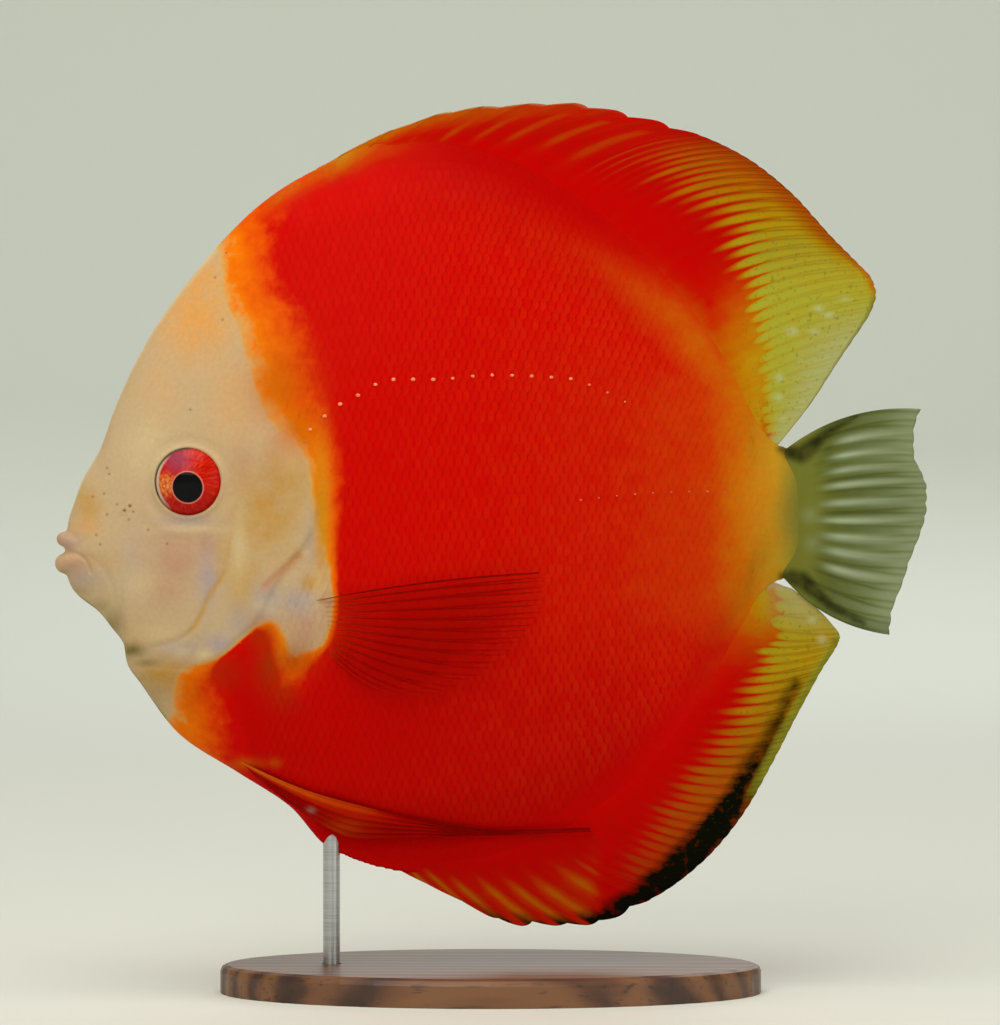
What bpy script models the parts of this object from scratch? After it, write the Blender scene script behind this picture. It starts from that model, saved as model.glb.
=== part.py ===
# A life-size discus fish, swimming level with its fins spread, on a small display stand.
# It faces -X, its left side faces -Y, and Z is up. All sizes below are in millimetres.
# The fish stands in its own plane: x runs to the tail, z is the height above the lowest
# tip of the anal fin, and half_width says how far the flesh reaches to either side of y = 0.

import math

import bmesh
import bpy
from mathutils import Vector

MM = 0.001
GAP = 0.3                 # clearance between pieces that touch
LIFT = 11.0               # lowest fin tip above the floor
SHIFT_X = 0.15            # brings the middle of the whole length over the stand
THINNEST = 0.3            # half of the thinnest flesh, at the ridge of the back and belly

STALK_X = 47.1            # where the tail stalk begins
TAIL_X = 53.5             # where the tail fin begins
WIDEST = 13.2             # half of the body's greatest width

EYE_X = -53.9
EYE_Z = 79.5
EYE_RADIUS = 6.2
EYE_DEPTH = 3.4           # half of the eyeball's size from cornea to back
EYE_SUNK = 1.0            # how far its middle lies under the skin
EYE_TURN = math.radians(10)
RIM_RADIUS = 6.1
RIM_THICK = 0.5

UPPER_LIP = (-76.0, 69.4)  # the middle of each lip's roll, and how thick the roll is
UPPER_LIP_THICK = 1.3
LOWER_LIP = (-75.7, 65.05)
LOWER_LIP_THICK = 1.85
MOUTH_CORNER_X = -72.2
MOUTH_HALF_WIDTH = 3.9
MOUTH_Z = 67.3
NOSTRIL = (-65.6, 75.0)
NOSTRIL_RADIUS = 0.6
GILL_INNER_Y = 5.0        # how deep a gill cover reaches towards the middle
GILL_PROUD = 0.5          # how far its free edge stands over the flank

DORSAL_SPINES = 9
DORSAL_RAYS = 31
ANAL_SPINES = 8
ANAL_RAYS = 29
TAIL_RAYS = 16
PECTORAL_RAYS = 13
PELVIC_RAYS = 6
MEMBRANE = 0.27           # half the thickness of the skin between two rays
RAY_HEIGHT = 0.15         # how far a soft ray stands over that skin
SPINE_HEIGHT = 0.28

BASE_LENGTH = 96.0
BASE_DEPTH = 56.0
BASE_THICK = 5.0
ROD_X = -28.4
ROD_RADIUS = 1.5
ROD_IN_BODY = 9.0
ROD_IN_BASE = 3.0

# The snout from the upper lip over the forehead, then the nape and the foot of the dorsal fin.
FOREHEAD = [(-75.5, 67.6), (-75.3, 71.0), (-75.0, 73.0), (-73.9, 76.4), (-72.6, 79.9),
            (-69.5, 85.4), (-66.5, 93.6), (-60.6, 105.5), (-51.8, 117.7)]
BACK = FOREHEAD + [(-42.9, 127.3), (-36.7, 131.4), (-28.7, 133.7), (-18.9, 135.8), (-9.1, 135.6),
                   (0.6, 132.5), (9.5, 127.5), (18.4, 121.1), (26.4, 113.6), (34.4, 106.0),
                   (40.6, 98.0), (45.0, 90.9), (STALK_X, 86.5), (50.3, 85.4), (TAIL_X, 84.9)]
# The chin and throat, then the belly and the foot of the anal fin.
CHIN = [(-75.5, 67.0), (-75.4, 63.5), (-74.5, 60.7), (-73.1, 59.1), (-69.5, 56.3), (-67.4, 53.6),
        (-65.2, 50.6), (-64.7, 47.4)]
BELLY = CHIN + [(-62.4, 43.9), (-55.3, 34.6), (-44.7, 27.7), (-35.8, 22.5), (-28.7, 18.5),
                (-18.9, 15.4), (-10.9, 15.8), (-2.9, 17.2), (5.1, 19.5), (13.0, 23.1),
                (20.7, 28.1), (27.8, 34.1), (34.4, 41.4), (39.1, 47.9), (42.3, 53.3),
                (45.0, 57.7), (STALK_X, 61.8), (TAIL_X, 63.0)]
# Where the flesh would close to an edge above and below, a little way out into the fins.
CREST = FOREHEAD + [(-42.9, 127.3), (-36.7, 132.1), (-28.7, 136.2), (-18.9, 139.2), (-9.1, 139.7),
                    (0.6, 137.2), (18.4, 126.1), (34.4, 110.3), (40.6, 102.1), (45.0, 94.8),
                    (STALK_X, 90.2), (50.3, 86.2), (TAIL_X, 85.1)]
KEEL = CHIN + [(-62.4, 43.9), (-55.3, 34.6), (-44.7, 27.7), (-35.8, 21.8), (-28.7, 14.2),
               (-18.9, 12.4), (-10.9, 11.7), (-2.9, 13.0), (13.0, 18.6), (27.8, 29.5),
               (34.4, 36.9), (39.1, 43.7), (45.0, 54.3), (STALK_X, 58.9), (50.3, 61.9),
               (TAIL_X, 62.8)]
# Half the width of the flesh along the fish, the height at which it is widest, and how the
# width falls off from there to the ridge: 0.5 is an ellipse and 1 a lens.
WIDTH = [(-75.5, 1.8), (-74.8, 3.1), (-73.4, 4.3), (-71.0, 5.6), (-67.7, 6.8), (-60.6, 8.9),
         (-53.9, 10.3), (-44.7, 12.0), (-34.0, 13.0), (-25.1, WIDEST), (-12.7, 12.6), (1.5, 11.1),
         (19.3, 8.6), (37.0, 5.6), (STALK_X, 3.7), (TAIL_X, 2.5)]
WIDEST_Z = [(-77.0, 67.5), (-67.7, 67.1), (-53.9, 68.4), (-34.0, 69.6), (1.5, 72.4), (TAIL_X, 74.2)]
FULLNESS = [(-77.0, 0.5), (-60.0, 0.56), (-40.0, 0.64), (-20.0, 0.72), (30.0, 0.75), (TAIL_X, 0.6)]
# The free edge of the gill cover from the throat to its top, and on as the border of head and
# body up to the nape.
GILL_EDGE = [(-64.7, 47.4), (-56.2, 47.6), (-48.6, 48.8), (-42.9, 51.5), (-37.0, 55.6),
             (-34.0, 60.4), (-33.1, 67.5), (-34.7, 76.3), (-38.4, 87.0), (-41.1, 97.7),
             (-43.8, 111.9), (-46.1, 123.9)]
# The front border of the gill cover, from its top to its lower end.
GILL_FRONT = [(-45.0, 85.6), (-44.7, 76.3), (-45.7, 69.2), (-47.5, 63.0), (-50.0, 57.7),
              (-52.6, 52.4), (-53.6, 46.0)]
GILL_BEYOND = [(-30.0, 44.0), (-28.0, 88.0), (-38.0, 88.4)]
# The border of the lower jaw from the corner of the mouth down to the throat.
JAW = [(-74.0, MOUTH_Z), (-72.0, 66.7), (-69.7, 64.8), (-67.8, 61.4), (-66.9, 57.5), (-67.3, 52.5)]
JAW_BEYOND = [(-69.0, 46.0), (-82.0, 46.0), (-82.0, MOUTH_Z)]

# Fins: the share of the way along the foot, where the foot is, and where the edge is.
DORSAL = [(0.00, -36.7, -34.4, 133.7), (0.10, -28.7, -23.3, 139.7), (0.20, -18.9, -10.9, 144.5),
          (0.30, -9.1, 2.9, 147.0), (0.40, 0.6, 17.5, 146.5), (0.47, 7.7, 30.3, 143.3),
          (0.55, 14.8, 40.9, 139.6), (0.63, 21.9, 50.9, 133.2), (0.70, 28.5, 58.7, 125.0),
          (0.76, 33.8, 65.1, 118.2), (0.81, 37.9, 68.3, 113.1), (0.86, 40.9, 66.0, 107.6),
          (0.91, 43.4, 61.5, 100.8), (0.95, 45.2, 56.9, 93.7), (1.00, STALK_X, 51.0, 86.2)]
ANAL = [(0.00, -26.0, -21.2, 13.1), (0.09, -18.9, -11.3, 8.2), (0.18, -10.9, -0.3, 2.7),
        (0.27, -2.9, 10.0, 0.0), (0.36, 5.1, 21.4, 2.0), (0.46, 13.0, 31.3, 7.3),
        (0.56, 19.3, 40.2, 14.7), (0.65, 25.0, 46.3, 23.1), (0.74, 30.6, 51.2, 32.3),
        (0.82, 36.0, 55.8, 41.0), (0.89, 40.2, 60.1, 48.6), (0.93, 42.3, 61.9, 52.2),
        (0.97, 45.2, 58.0, 57.0), (1.00, STALK_X, 53.4, 60.6)]
TAIL_EDGE = [(0.0, 76.3, 92.5), (0.1, 75.0, 88.4), (0.2, 75.0, 84.3), (0.3, 76.3, 81.3),
             (0.4, 77.3, 78.1), (0.5, 77.3, 74.6), (0.6, 76.3, 70.7), (0.7, 74.5, 66.0),
             (0.8, 72.9, 61.3), (0.9, 71.1, 56.5), (1.0, 70.6, 52.4)]
PECTORAL_FOOT = [(0.0, -30.1, 58.6), (1.0, -27.6, 50.4)]
PECTORAL_EDGE = [(0.0, 8.3, 63.7), (0.1, 9.5, 62.1), (0.25, 8.8, 57.9), (0.4, 6.5, 53.6),
                 (0.55, 2.6, 49.4), (0.7, -3.1, 45.1), (0.85, -10.6, 42.1), (1.0, -17.1, 42.1)]
PECTORAL_SPREAD = 3.6     # how far the fin's edge stands off the flank
PELVIC_UPPER = [(0.0, -44.6, 30.2), (0.2, -34.0, 25.6), (0.4, -23.3, 22.5), (0.6, -12.7, 19.9),
                (0.8, 2.0, 17.9), (1.0, 17.5, 18.3)]
PELVIC_LOWER = [(0.0, -41.6, 27.2), (0.2, -33.0, 20.9), (0.4, -23.1, 16.4), (0.6, -11.9, 16.8),
                (0.8, 2.3, 17.0), (1.0, 17.5, 17.6)]


def smooth(points):
    # A cubic through the points that never overshoots them, as a function.
    xs = [p[0] for p in points]
    ys = [p[1] for p in points]
    last = len(xs) - 1
    rises = [(ys[i + 1] - ys[i]) / (xs[i + 1] - xs[i]) for i in range(last)]
    slopes = [rises[0]]
    for before, after in zip(rises, rises[1:]):
        slopes.append(0.0 if before * after <= 0 else 2 * before * after / (before + after))
    slopes.append(rises[-1])

    def at(x):
        x = min(max(x, xs[0]), xs[-1])
        i = next((k for k in range(last) if x <= xs[k + 1]), last - 1)
        step = xs[i + 1] - xs[i]
        t = (x - xs[i]) / step
        return ((1 + 2 * t) * (1 - t) ** 2 * ys[i] + t * (1 - t) ** 2 * step * slopes[i]
                + t * t * (3 - 2 * t) * ys[i + 1] + t * t * (t - 1) * step * slopes[i + 1])

    return at


def pair(rows):
    # Two smooth functions of the first number in each row, read together as (x, z).
    x_of = smooth([(r[0], r[1]) for r in rows])
    z_of = smooth([(r[0], r[2]) for r in rows])
    return lambda t: (x_of(t), z_of(t))


def route(points):
    # A smooth line through the points, as a function of the share of its length.
    gone = [0.0]
    for (x0, z0), (x1, z1) in zip(points, points[1:]):
        gone.append(gone[-1] + math.hypot(x1 - x0, z1 - z0))
    return pair([(g / gone[-1], x, z) for g, (x, z) in zip(gone, points)])


def lerp(a, b, t):
    return a + (b - a) * t


back = smooth(BACK)
belly = smooth(BELLY)
crest = smooth(CREST)
keel = smooth(KEEL)
width = smooth(WIDTH)
widest_z = smooth(WIDEST_Z)
fullness = smooth(FULLNESS)
gill_edge = route(GILL_EDGE)
gill_front = route(GILL_FRONT)
jaw_edge = route(JAW)


def half_width(x, z):
    # Half the thickness of head and body at a point of the fish's plane.
    middle = widest_z(x)
    reach = crest(x) - middle if z > middle else middle - keel(x)
    share = min(1.0, abs(z - middle) / reach)
    flesh = width(x) * (1 - share * share) ** fullness(x)
    shoulder = 0.8 * math.exp(-((x + 31.0) / 3.0) ** 2 - ((z - 54.5) / 4.5) ** 2)
    return max(THINNEST, flesh + shoulder)


def material(name, colour, roughness, metallic=0.0):
    made = bpy.data.materials.new(name)
    made.use_nodes = True
    shader = made.node_tree.nodes["Principled BSDF"]
    shader.inputs["Base Color"].default_value = (*colour, 1.0)
    shader.inputs["Roughness"].default_value = roughness
    shader.inputs["Metallic"].default_value = metallic
    made.diffuse_color = (*colour, 1.0)
    return made


def finish_object(name, bm, look):
    mesh = bpy.data.meshes.new(name)
    bm.to_mesh(mesh)
    bm.free()
    mesh.materials.append(look)
    mesh.shade_smooth()
    mesh.set_sharp_from_angle(angle=math.radians(40))
    made = bpy.data.objects.new(name, mesh)
    bpy.context.scene.collection.objects.link(made)
    return made


def slab(name, columns, rows, place, half, look, middle=lambda u, v, x, z: 0.0):
    # A flat sheet in the fish's plane, drawn by place(u, v), and thickened to both sides by
    # half(u, v, x, z). It is split into triangles first, so that both faces are split alike.
    bm = bmesh.new()
    bmesh.ops.create_grid(bm, x_segments=columns, y_segments=rows, size=0.5)
    across = bm.verts.layers.float.new("across")
    along = bm.verts.layers.float.new("along")
    for vert in bm.verts:
        vert[across] = min(max(vert.co.x + 0.5, 0.0), 1.0)
        vert[along] = min(max(vert.co.y + 0.5, 0.0), 1.0)
    bmesh.ops.triangulate(bm, faces=bm.faces[:])
    near_side = set(bm.verts)
    bmesh.ops.extrude_face_region(bm, geom=bm.faces[:], use_keep_orig=True)
    for vert in bm.verts:
        u, v = vert[across], vert[along]
        x, z = place(u, v)
        side = -1 if vert in near_side else 1
        y = middle(u, v, x, z) + side * half(u, v, x, z)
        vert.co = Vector((x, y, z)) * MM
    bmesh.ops.recalc_face_normals(bm, faces=bm.faces[:])
    return finish_object(name, bm, look)


def settle(obj, operation, others):
    # Joins the others to obj, or cuts them from it, in one Boolean, and keeps the largest body.
    group = bpy.data.collections.new("operands")
    bpy.context.scene.collection.children.link(group)
    for other in others:
        for home in list(other.users_collection):
            home.objects.unlink(other)
        group.objects.link(other)
    boolean = obj.modifiers.new("boolean", "BOOLEAN")
    boolean.operation = operation
    boolean.operand_type = "COLLECTION"
    boolean.collection = group
    boolean.solver = "EXACT"
    bpy.context.view_layer.update()
    graph = bpy.context.evaluated_depsgraph_get()
    old = obj.data
    made = bpy.data.meshes.new_from_object(obj.evaluated_get(graph))
    obj.modifiers.clear()
    obj.data = made
    made.name = obj.name
    bpy.data.meshes.remove(old)
    for other in others:
        bpy.data.objects.remove(other)
    bpy.data.collections.remove(group)
    keep_largest(made)
    return obj


def keep_largest(mesh):
    bm = bmesh.new()
    bm.from_mesh(mesh)
    bmesh.ops.triangulate(bm, faces=bm.faces[:])
    left = set(bm.verts)
    bodies = []
    while left:
        body, edge_of_body = set(), [left.pop()]
        while edge_of_body:
            vert = edge_of_body.pop()
            body.add(vert)
            for edge in vert.link_edges:
                other = edge.other_vert(vert)
                if other in left:
                    left.discard(other)
                    edge_of_body.append(other)
        bodies.append(body)
    bodies.sort(key=len)
    loose = [vert for body in bodies[:-1] for vert in body]
    bmesh.ops.delete(bm, geom=loose, context="VERTS")
    bm.to_mesh(mesh)
    bm.free()
    mesh.set_sharp_from_angle(angle=math.radians(40))


def grown(points, by):
    # The outline moved outward by a distance. Its points run clockwise or anticlockwise.
    count = len(points)
    area = sum(points[i][0] * points[(i + 1) % count][1] - points[(i + 1) % count][0] * points[i][1]
               for i in range(count))
    turn = 1 if area > 0 else -1
    moved = []
    for i in range(count):
        here = Vector(points[i])
        come = (here - Vector(points[i - 1])).normalized()
        leave = (Vector(points[(i + 1) % count]) - here).normalized()
        out_a = Vector((come.y, -come.x)) * turn
        out_b = Vector((leave.y, -leave.x)) * turn
        out = (out_a + out_b).normalized()
        moved.append(here + out * (by / max(0.4, out.dot(out_a))))
    return moved


def prism(name, outline, low_y, high_y):
    # The outline, drawn in the fish's plane, as a closed block from low_y to high_y.
    bm = bmesh.new()
    ring = [bm.verts.new(Vector((x, low_y, z)) * MM) for x, z in outline]
    floor = bm.faces.new(ring)
    raised = bmesh.ops.extrude_face_region(bm, geom=[floor], use_keep_orig=True)
    for item in raised["geom"]:
        if isinstance(item, bmesh.types.BMVert):
            item.co.y = high_y * MM
    bmesh.ops.recalc_face_normals(bm, faces=bm.faces[:])
    mesh = bpy.data.meshes.new(name)
    bm.to_mesh(mesh)
    bm.free()
    made = bpy.data.objects.new(name, mesh)
    bpy.context.scene.collection.objects.link(made)
    return made


def as_mesh(obj):
    # A curve object as a welded mesh object in its place.
    bpy.context.view_layer.update()
    graph = bpy.context.evaluated_depsgraph_get()
    mesh = bpy.data.meshes.new_from_object(obj.evaluated_get(graph))
    bm = bmesh.new()
    bm.from_mesh(mesh)
    bmesh.ops.remove_doubles(bm, verts=bm.verts[:], dist=0.00001)
    bmesh.ops.recalc_face_normals(bm, faces=bm.faces[:])
    bm.to_mesh(mesh)
    bm.free()
    made = bpy.data.objects.new(obj.name + "_mesh", mesh)
    made.matrix_world = obj.matrix_world
    bpy.context.scene.collection.objects.link(made)
    bpy.data.objects.remove(obj)
    return made


def lip(name, front, thick):
    # A soft roll round the front of the mouth, thinner and nearer the other lip at its corners.
    curve = bpy.data.curves.new(name, "CURVE")
    curve.dimensions = "3D"
    curve.bevel_depth = thick * MM
    curve.bevel_resolution = 4
    curve.use_fill_caps = True
    spline = curve.splines.new("POLY")
    steps = 10
    spline.points.add(steps)
    for i, point in enumerate(spline.points):
        turn = lerp(-math.pi / 2, math.pi / 2, i / steps)
        x = front[0] + (MOUTH_CORNER_X - front[0]) * (1 - math.cos(turn))
        y = MOUTH_HALF_WIDTH * math.sin(turn)
        z = lerp(front[1], MOUTH_Z, 0.45 * (1 - math.cos(turn)))
        point.co = (x * MM, y * MM, z * MM, 1)
        point.radius = 0.55 + 0.45 * math.cos(turn)
    made = bpy.data.objects.new(name, curve)
    bpy.context.scene.collection.objects.link(made)
    return as_mesh(made)


def eye_place(side):
    # The middle of an eyeball and the turn that lays it flush with the cheek.
    y = side * (half_width(EYE_X, EYE_Z) - EYE_SUNK)
    return Vector((EYE_X, y, EYE_Z)) * MM, side * EYE_TURN


def eyeball(name, side, extra, look=None):
    middle, turn = eye_place(side)
    bpy.ops.mesh.primitive_uv_sphere_add(segments=24, ring_count=12, radius=MM)
    made = bpy.context.object
    made.name = name
    mesh = made.data
    for vert in mesh.vertices:
        x, y, z = vert.co
        vert.co = (x * (EYE_RADIUS + extra), z * (EYE_DEPTH + extra), -y * (EYE_RADIUS + extra))
    made.location = middle
    made.rotation_euler = (0, 0, turn)
    mesh.shade_smooth()
    if look:
        mesh.materials.append(look)
    return made


def eye_rim(side):
    middle, turn = eye_place(side)
    out = Vector((-math.sin(EYE_TURN), side * math.cos(EYE_TURN), 0.0))
    bpy.ops.mesh.primitive_torus_add(major_radius=RIM_RADIUS * MM, minor_radius=RIM_THICK * MM,
                                     major_segments=24, minor_segments=6,
                                     location=middle + out * EYE_SUNK * MM,
                                     rotation=(math.radians(90), 0, turn))
    return bpy.context.object


def nostril(side):
    y = side * half_width(*NOSTRIL)
    bpy.ops.mesh.primitive_uv_sphere_add(segments=10, ring_count=6, radius=NOSTRIL_RADIUS * MM,
                                         location=Vector((NOSTRIL[0], y, NOSTRIL[1])) * MM)
    return bpy.context.object


def eased(v):
    # Shares set closer together near both ends, where the flesh rounds to its ridge.
    return lerp(v, 0.5 - 0.5 * math.cos(math.pi * v), 0.75)


head_back = route(FOREHEAD + [(GILL_EDGE[-1][0], back(GILL_EDGE[-1][0]))])
head_belly = route(CHIN)


def head_place(u, v):
    # From the mouth to the gill edge. The upright columns bend into that edge.
    top, low = head_back(u), head_belly(u)
    edge = gill_edge(eased(v))
    straight_x = lerp(GILL_EDGE[0][0], GILL_EDGE[-1][0], eased(v))
    straight_z = lerp(GILL_EDGE[0][1], GILL_EDGE[-1][1], eased(v))
    bend = u ** 1.6
    return (lerp(low[0], top[0], eased(v)) + bend * (edge[0] - straight_x),
            lerp(low[1], top[1], eased(v)) + bend * (edge[1] - straight_z))


def behind_gill(v):
    # The gill edge, moved back by the clearance.
    step = 0.002
    x0, z0 = gill_edge(max(0.0, v - step))
    x1, z1 = gill_edge(min(1.0, v + step))
    length = math.hypot(x1 - x0, z1 - z0)
    x, z = gill_edge(v)
    return x + GAP * (z1 - z0) / length, z - GAP * (x1 - x0) / length


nape_x = GILL_EDGE[-1][0] + GAP
torso_back = route([(nape_x, back(nape_x))] + [p for p in BACK if nape_x < p[0] <= STALK_X])
torso_belly = route([behind_gill(0.0)] + [p for p in BELLY if CHIN[-1][0] < p[0] <= STALK_X])


def torso_place(u, v):
    top, low = torso_back(u), torso_belly(u)
    share = eased(v)
    edge = behind_gill(share)
    first_top, first_low = torso_back(0.0), torso_belly(0.0)
    bend = (1 - u) ** 2.2
    return (lerp(low[0], top[0], share) + bend * (edge[0] - lerp(first_low[0], first_top[0], share)),
            lerp(low[1], top[1], share) + bend * (edge[1] - lerp(first_low[1], first_top[1], share)))


def stalk_place(u, v):
    x = lerp(STALK_X + GAP, TAIL_X, u)
    return x, lerp(belly(x), back(x), eased(v))


def flesh(u, v, x, z):
    return half_width(x, z)


def gill_flesh(u, v, x, z):
    proud = min(1.0, max(0.0, (x + 50.0) / 16.0))
    return half_width(x, z) + GILL_PROUD * lerp(0.3, 1.0, proud)


def make_head(look):
    head = slab("head", 20, 20, head_place, flesh, look)
    thick_head = slab("thick_head", 20, 20, head_place, gill_flesh, look)
    lips = [lip("upper_lip", UPPER_LIP, UPPER_LIP_THICK),
            lip("lower_lip", LOWER_LIP, LOWER_LIP_THICK)]
    rims = [eye_rim(side) for side in (-1, 1)]
    settle(head, "UNION", lips + rims)
    cuts = []
    for side in (-1, 1):
        cuts += [eyeball("socket", side, GAP), nostril(side)]
    settle(head, "DIFFERENCE", cuts)
    return head, thick_head


def gill_block(name, side, grow):
    # The region of one gill cover, from its inner face out past the skin.
    outline = grown([gill_front(i / 12) for i in range(13)] + GILL_BEYOND, grow)
    near, far = GILL_INNER_Y - grow, 30.0
    return prism(name, outline, side * near, side * far)


def jaw_block(name, grow):
    return prism(name, grown([jaw_edge(i / 10) for i in range(11)] + JAW_BEYOND, grow), -20, 20)


def copy_of(obj, name):
    made = obj.copy()
    made.data = obj.data.copy()
    made.name = name
    bpy.context.scene.collection.objects.link(made)
    return made


def part_head(head, thick_head):
    # Thin cuts free the lower jaw and the two gill covers from the head.
    jaw = settle(copy_of(head, "lower_jaw"), "INTERSECT", [jaw_block("jaw_block", 0.0)])
    settle(head, "DIFFERENCE", [jaw_block("jaw_cut", GAP)])
    covers = []
    for side, name in ((-1, "gill_cover_left"), (1, "gill_cover_right")):
        cover = copy_of(thick_head, name)
        covers.append(settle(cover, "INTERSECT", [gill_block("cover_block", side, 0.0)]))
        settle(head, "DIFFERENCE", [gill_block("cover_cut", side, GAP)])
    bpy.data.objects.remove(thick_head)
    return [head, jaw] + covers


def ray_columns(spines, spine_share, rays):
    # Shares of the foot: each spine or ray, and between each two the middle of their skin.
    places = [spine_share * i / spines for i in range(spines)]
    places += [lerp(spine_share, 1.0, i / (rays - 1)) for i in range(rays)]
    columns = []
    for here, after in zip(places, places[1:]):
        columns += [here, (here + after) / 2]
    return columns + [places[-1]]


def offset_foot(line, x, outward):
    # A point of the fin's foot, moved outward from the body by the clearance.
    step = 0.05
    slope = (line(x + step) - line(x - step)) / (2 * step)
    length = math.hypot(1.0, slope)
    return x - outward * GAP * slope / length, line(x) + outward * GAP / length


def median_fin(name, table, line, outward, spines, spine_share, rays, bow, look):
    # A fin along the back or belly: thick and fleshy at its foot, thin skin on rays outside.
    foot_x = smooth([(r[0], r[1]) for r in table])
    edge = pair([(r[0], r[2], r[3]) for r in table])
    columns = ray_columns(spines, spine_share, rays)
    last = len(columns) - 1

    def column(u):
        index = round(u * last)
        return index, columns[index]

    def place(u, v):
        index, share = column(u)
        foot = offset_foot(line, foot_x(share), outward)
        tip = edge(share)
        reach = v
        if index % 2 and share < spine_share:
            reach = v * (1 - 0.09 * (1 - abs(share / spine_share - 0.5)))
        lift = bow * 4 * reach * (1 - reach)
        dx, dz = tip[0] - foot[0], tip[1] - foot[1]
        return (foot[0] + dx * reach - outward * dz * lift, foot[1] + dz * reach + outward * dx * lift)

    def half(u, v, x, z):
        index, share = column(u)
        x0 = foot_x(share)
        root = half_width(x0, line(x0))
        fleshy = max(0.0, 1 - v / 0.55) ** 1.7 * min(1.0, share / 0.05, (1 - share) / 0.08) ** 0.5
        height = SPINE_HEIGHT if share < spine_share else RAY_HEIGHT
        ridge = height * min(1.0, v * 4) * (1 - 0.5 * v) if index % 2 == 0 else 0.0
        return lerp(MEMBRANE, max(root, MEMBRANE), fleshy) + ridge

    return slab(name, last, 7, place, half, look)


def make_tail_fin(look):
    edge = pair(TAIL_EDGE)
    last = 2 * TAIL_RAYS

    def place(u, v):
        x0 = TAIL_X + GAP
        foot = (x0, lerp(back(TAIL_X), belly(TAIL_X), u))
        tip = edge(u)
        lift = 0.1 * (1 - 2 * u) * 4 * v * (1 - v)
        dx, dz = tip[0] - foot[0], tip[1] - foot[1]
        return foot[0] + dx * v - dz * lift, foot[1] + dz * v + dx * lift

    def half(u, v, x, z):
        root = half_width(TAIL_X, lerp(back(TAIL_X), belly(TAIL_X), u))
        fleshy = max(0.0, 1 - v / 0.32) ** 1.4
        ridge = RAY_HEIGHT * 1.3 * min(1.0, v * 4) if round(u * last) % 2 == 0 else 0.0
        return lerp(MEMBRANE, root, fleshy) + ridge

    return slab("tail_fin", last, 8, place, half, look)


def make_pectoral(name, side, look):
    foot_line = pair(PECTORAL_FOOT)
    edge = pair(PECTORAL_EDGE)
    last = 2 * (PECTORAL_RAYS - 1)

    def place(u, v):
        foot, tip = foot_line(u), edge(u)
        lift = lerp(0.02, -0.1, u) * 4 * v * (1 - v)
        dx, dz = tip[0] - foot[0], tip[1] - foot[1]
        return foot[0] + dx * v - dz * lift, foot[1] + dz * v + dx * lift

    def half(u, v, x, z):
        ridge = 0.12 if round(u * last) % 2 == 0 else 0.0
        return lerp(0.5, MEMBRANE, min(1.0, v * 3)) + ridge

    def middle(u, v, x, z):
        return side * (half_width(x, z) + GAP + half(u, v, x, z) + 0.1 + PECTORAL_SPREAD * v ** 1.3)

    return slab(name, last, 7, place, half, look, middle)


def make_pelvic(name, side, look):
    upper, lower = pair(PELVIC_UPPER), pair(PELVIC_LOWER)
    last = 2 * (PELVIC_RAYS - 1)

    def place(u, v):
        a, b = upper(v), lower(v)
        return lerp(a[0], b[0], u), lerp(a[1], b[1], u)

    def half(u, v, x, z):
        ridge = 0.12 if round(u * last) % 2 == 0 else 0.0
        return lerp(0.42, MEMBRANE, v) + ridge * (1 - v)

    def middle(u, v, x, z):
        clear = max(half_width(x, z), 1.7)
        return side * (clear + GAP + half(u, v, x, z) + 0.25 * min(1.0, v * 5))

    return slab(name, last, 14, place, half, look, middle)


def make_rod(look):
    top = belly(ROD_X) + LIFT + ROD_IN_BODY
    low = BASE_THICK - ROD_IN_BASE + GAP
    return rod_shape("stand_rod", ROD_RADIUS, low, top, look)


def rod_shape(name, radius, low, high, look=None):
    bpy.ops.mesh.primitive_cylinder_add(vertices=20, radius=radius * MM, depth=(high - low) * MM,
                                        location=Vector((ROD_X + SHIFT_X, 0, (low + high) / 2)) * MM)
    made = bpy.context.object
    made.name = name
    made.data.shade_smooth()
    made.data.set_sharp_from_angle(angle=math.radians(40))
    if look:
        made.data.materials.append(look)
    return made


def make_base(look):
    bm = bmesh.new()
    bmesh.ops.create_cone(bm, cap_ends=True, segments=44, radius1=0.5, radius2=0.5, depth=1)
    for vert in bm.verts:
        x, y, z = vert.co
        vert.co = Vector((x * BASE_LENGTH, y * BASE_DEPTH, (z + 0.5) * BASE_THICK)) * MM
    rims = [edge for edge in bm.edges if all(v.co.z > 0.9 * BASE_THICK * MM for v in edge.verts)
            and len(edge.link_faces) == 2]
    bmesh.ops.bevel(bm, geom=rims, offset=1.2 * MM, segments=2, profile=0.5, affect="EDGES")
    base = finish_object("stand_base", bm, look)
    hole = rod_shape("rod_hole", ROD_RADIUS + GAP, BASE_THICK - ROD_IN_BASE, BASE_THICK + 10)
    return settle(base, "DIFFERENCE", [hole])


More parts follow.
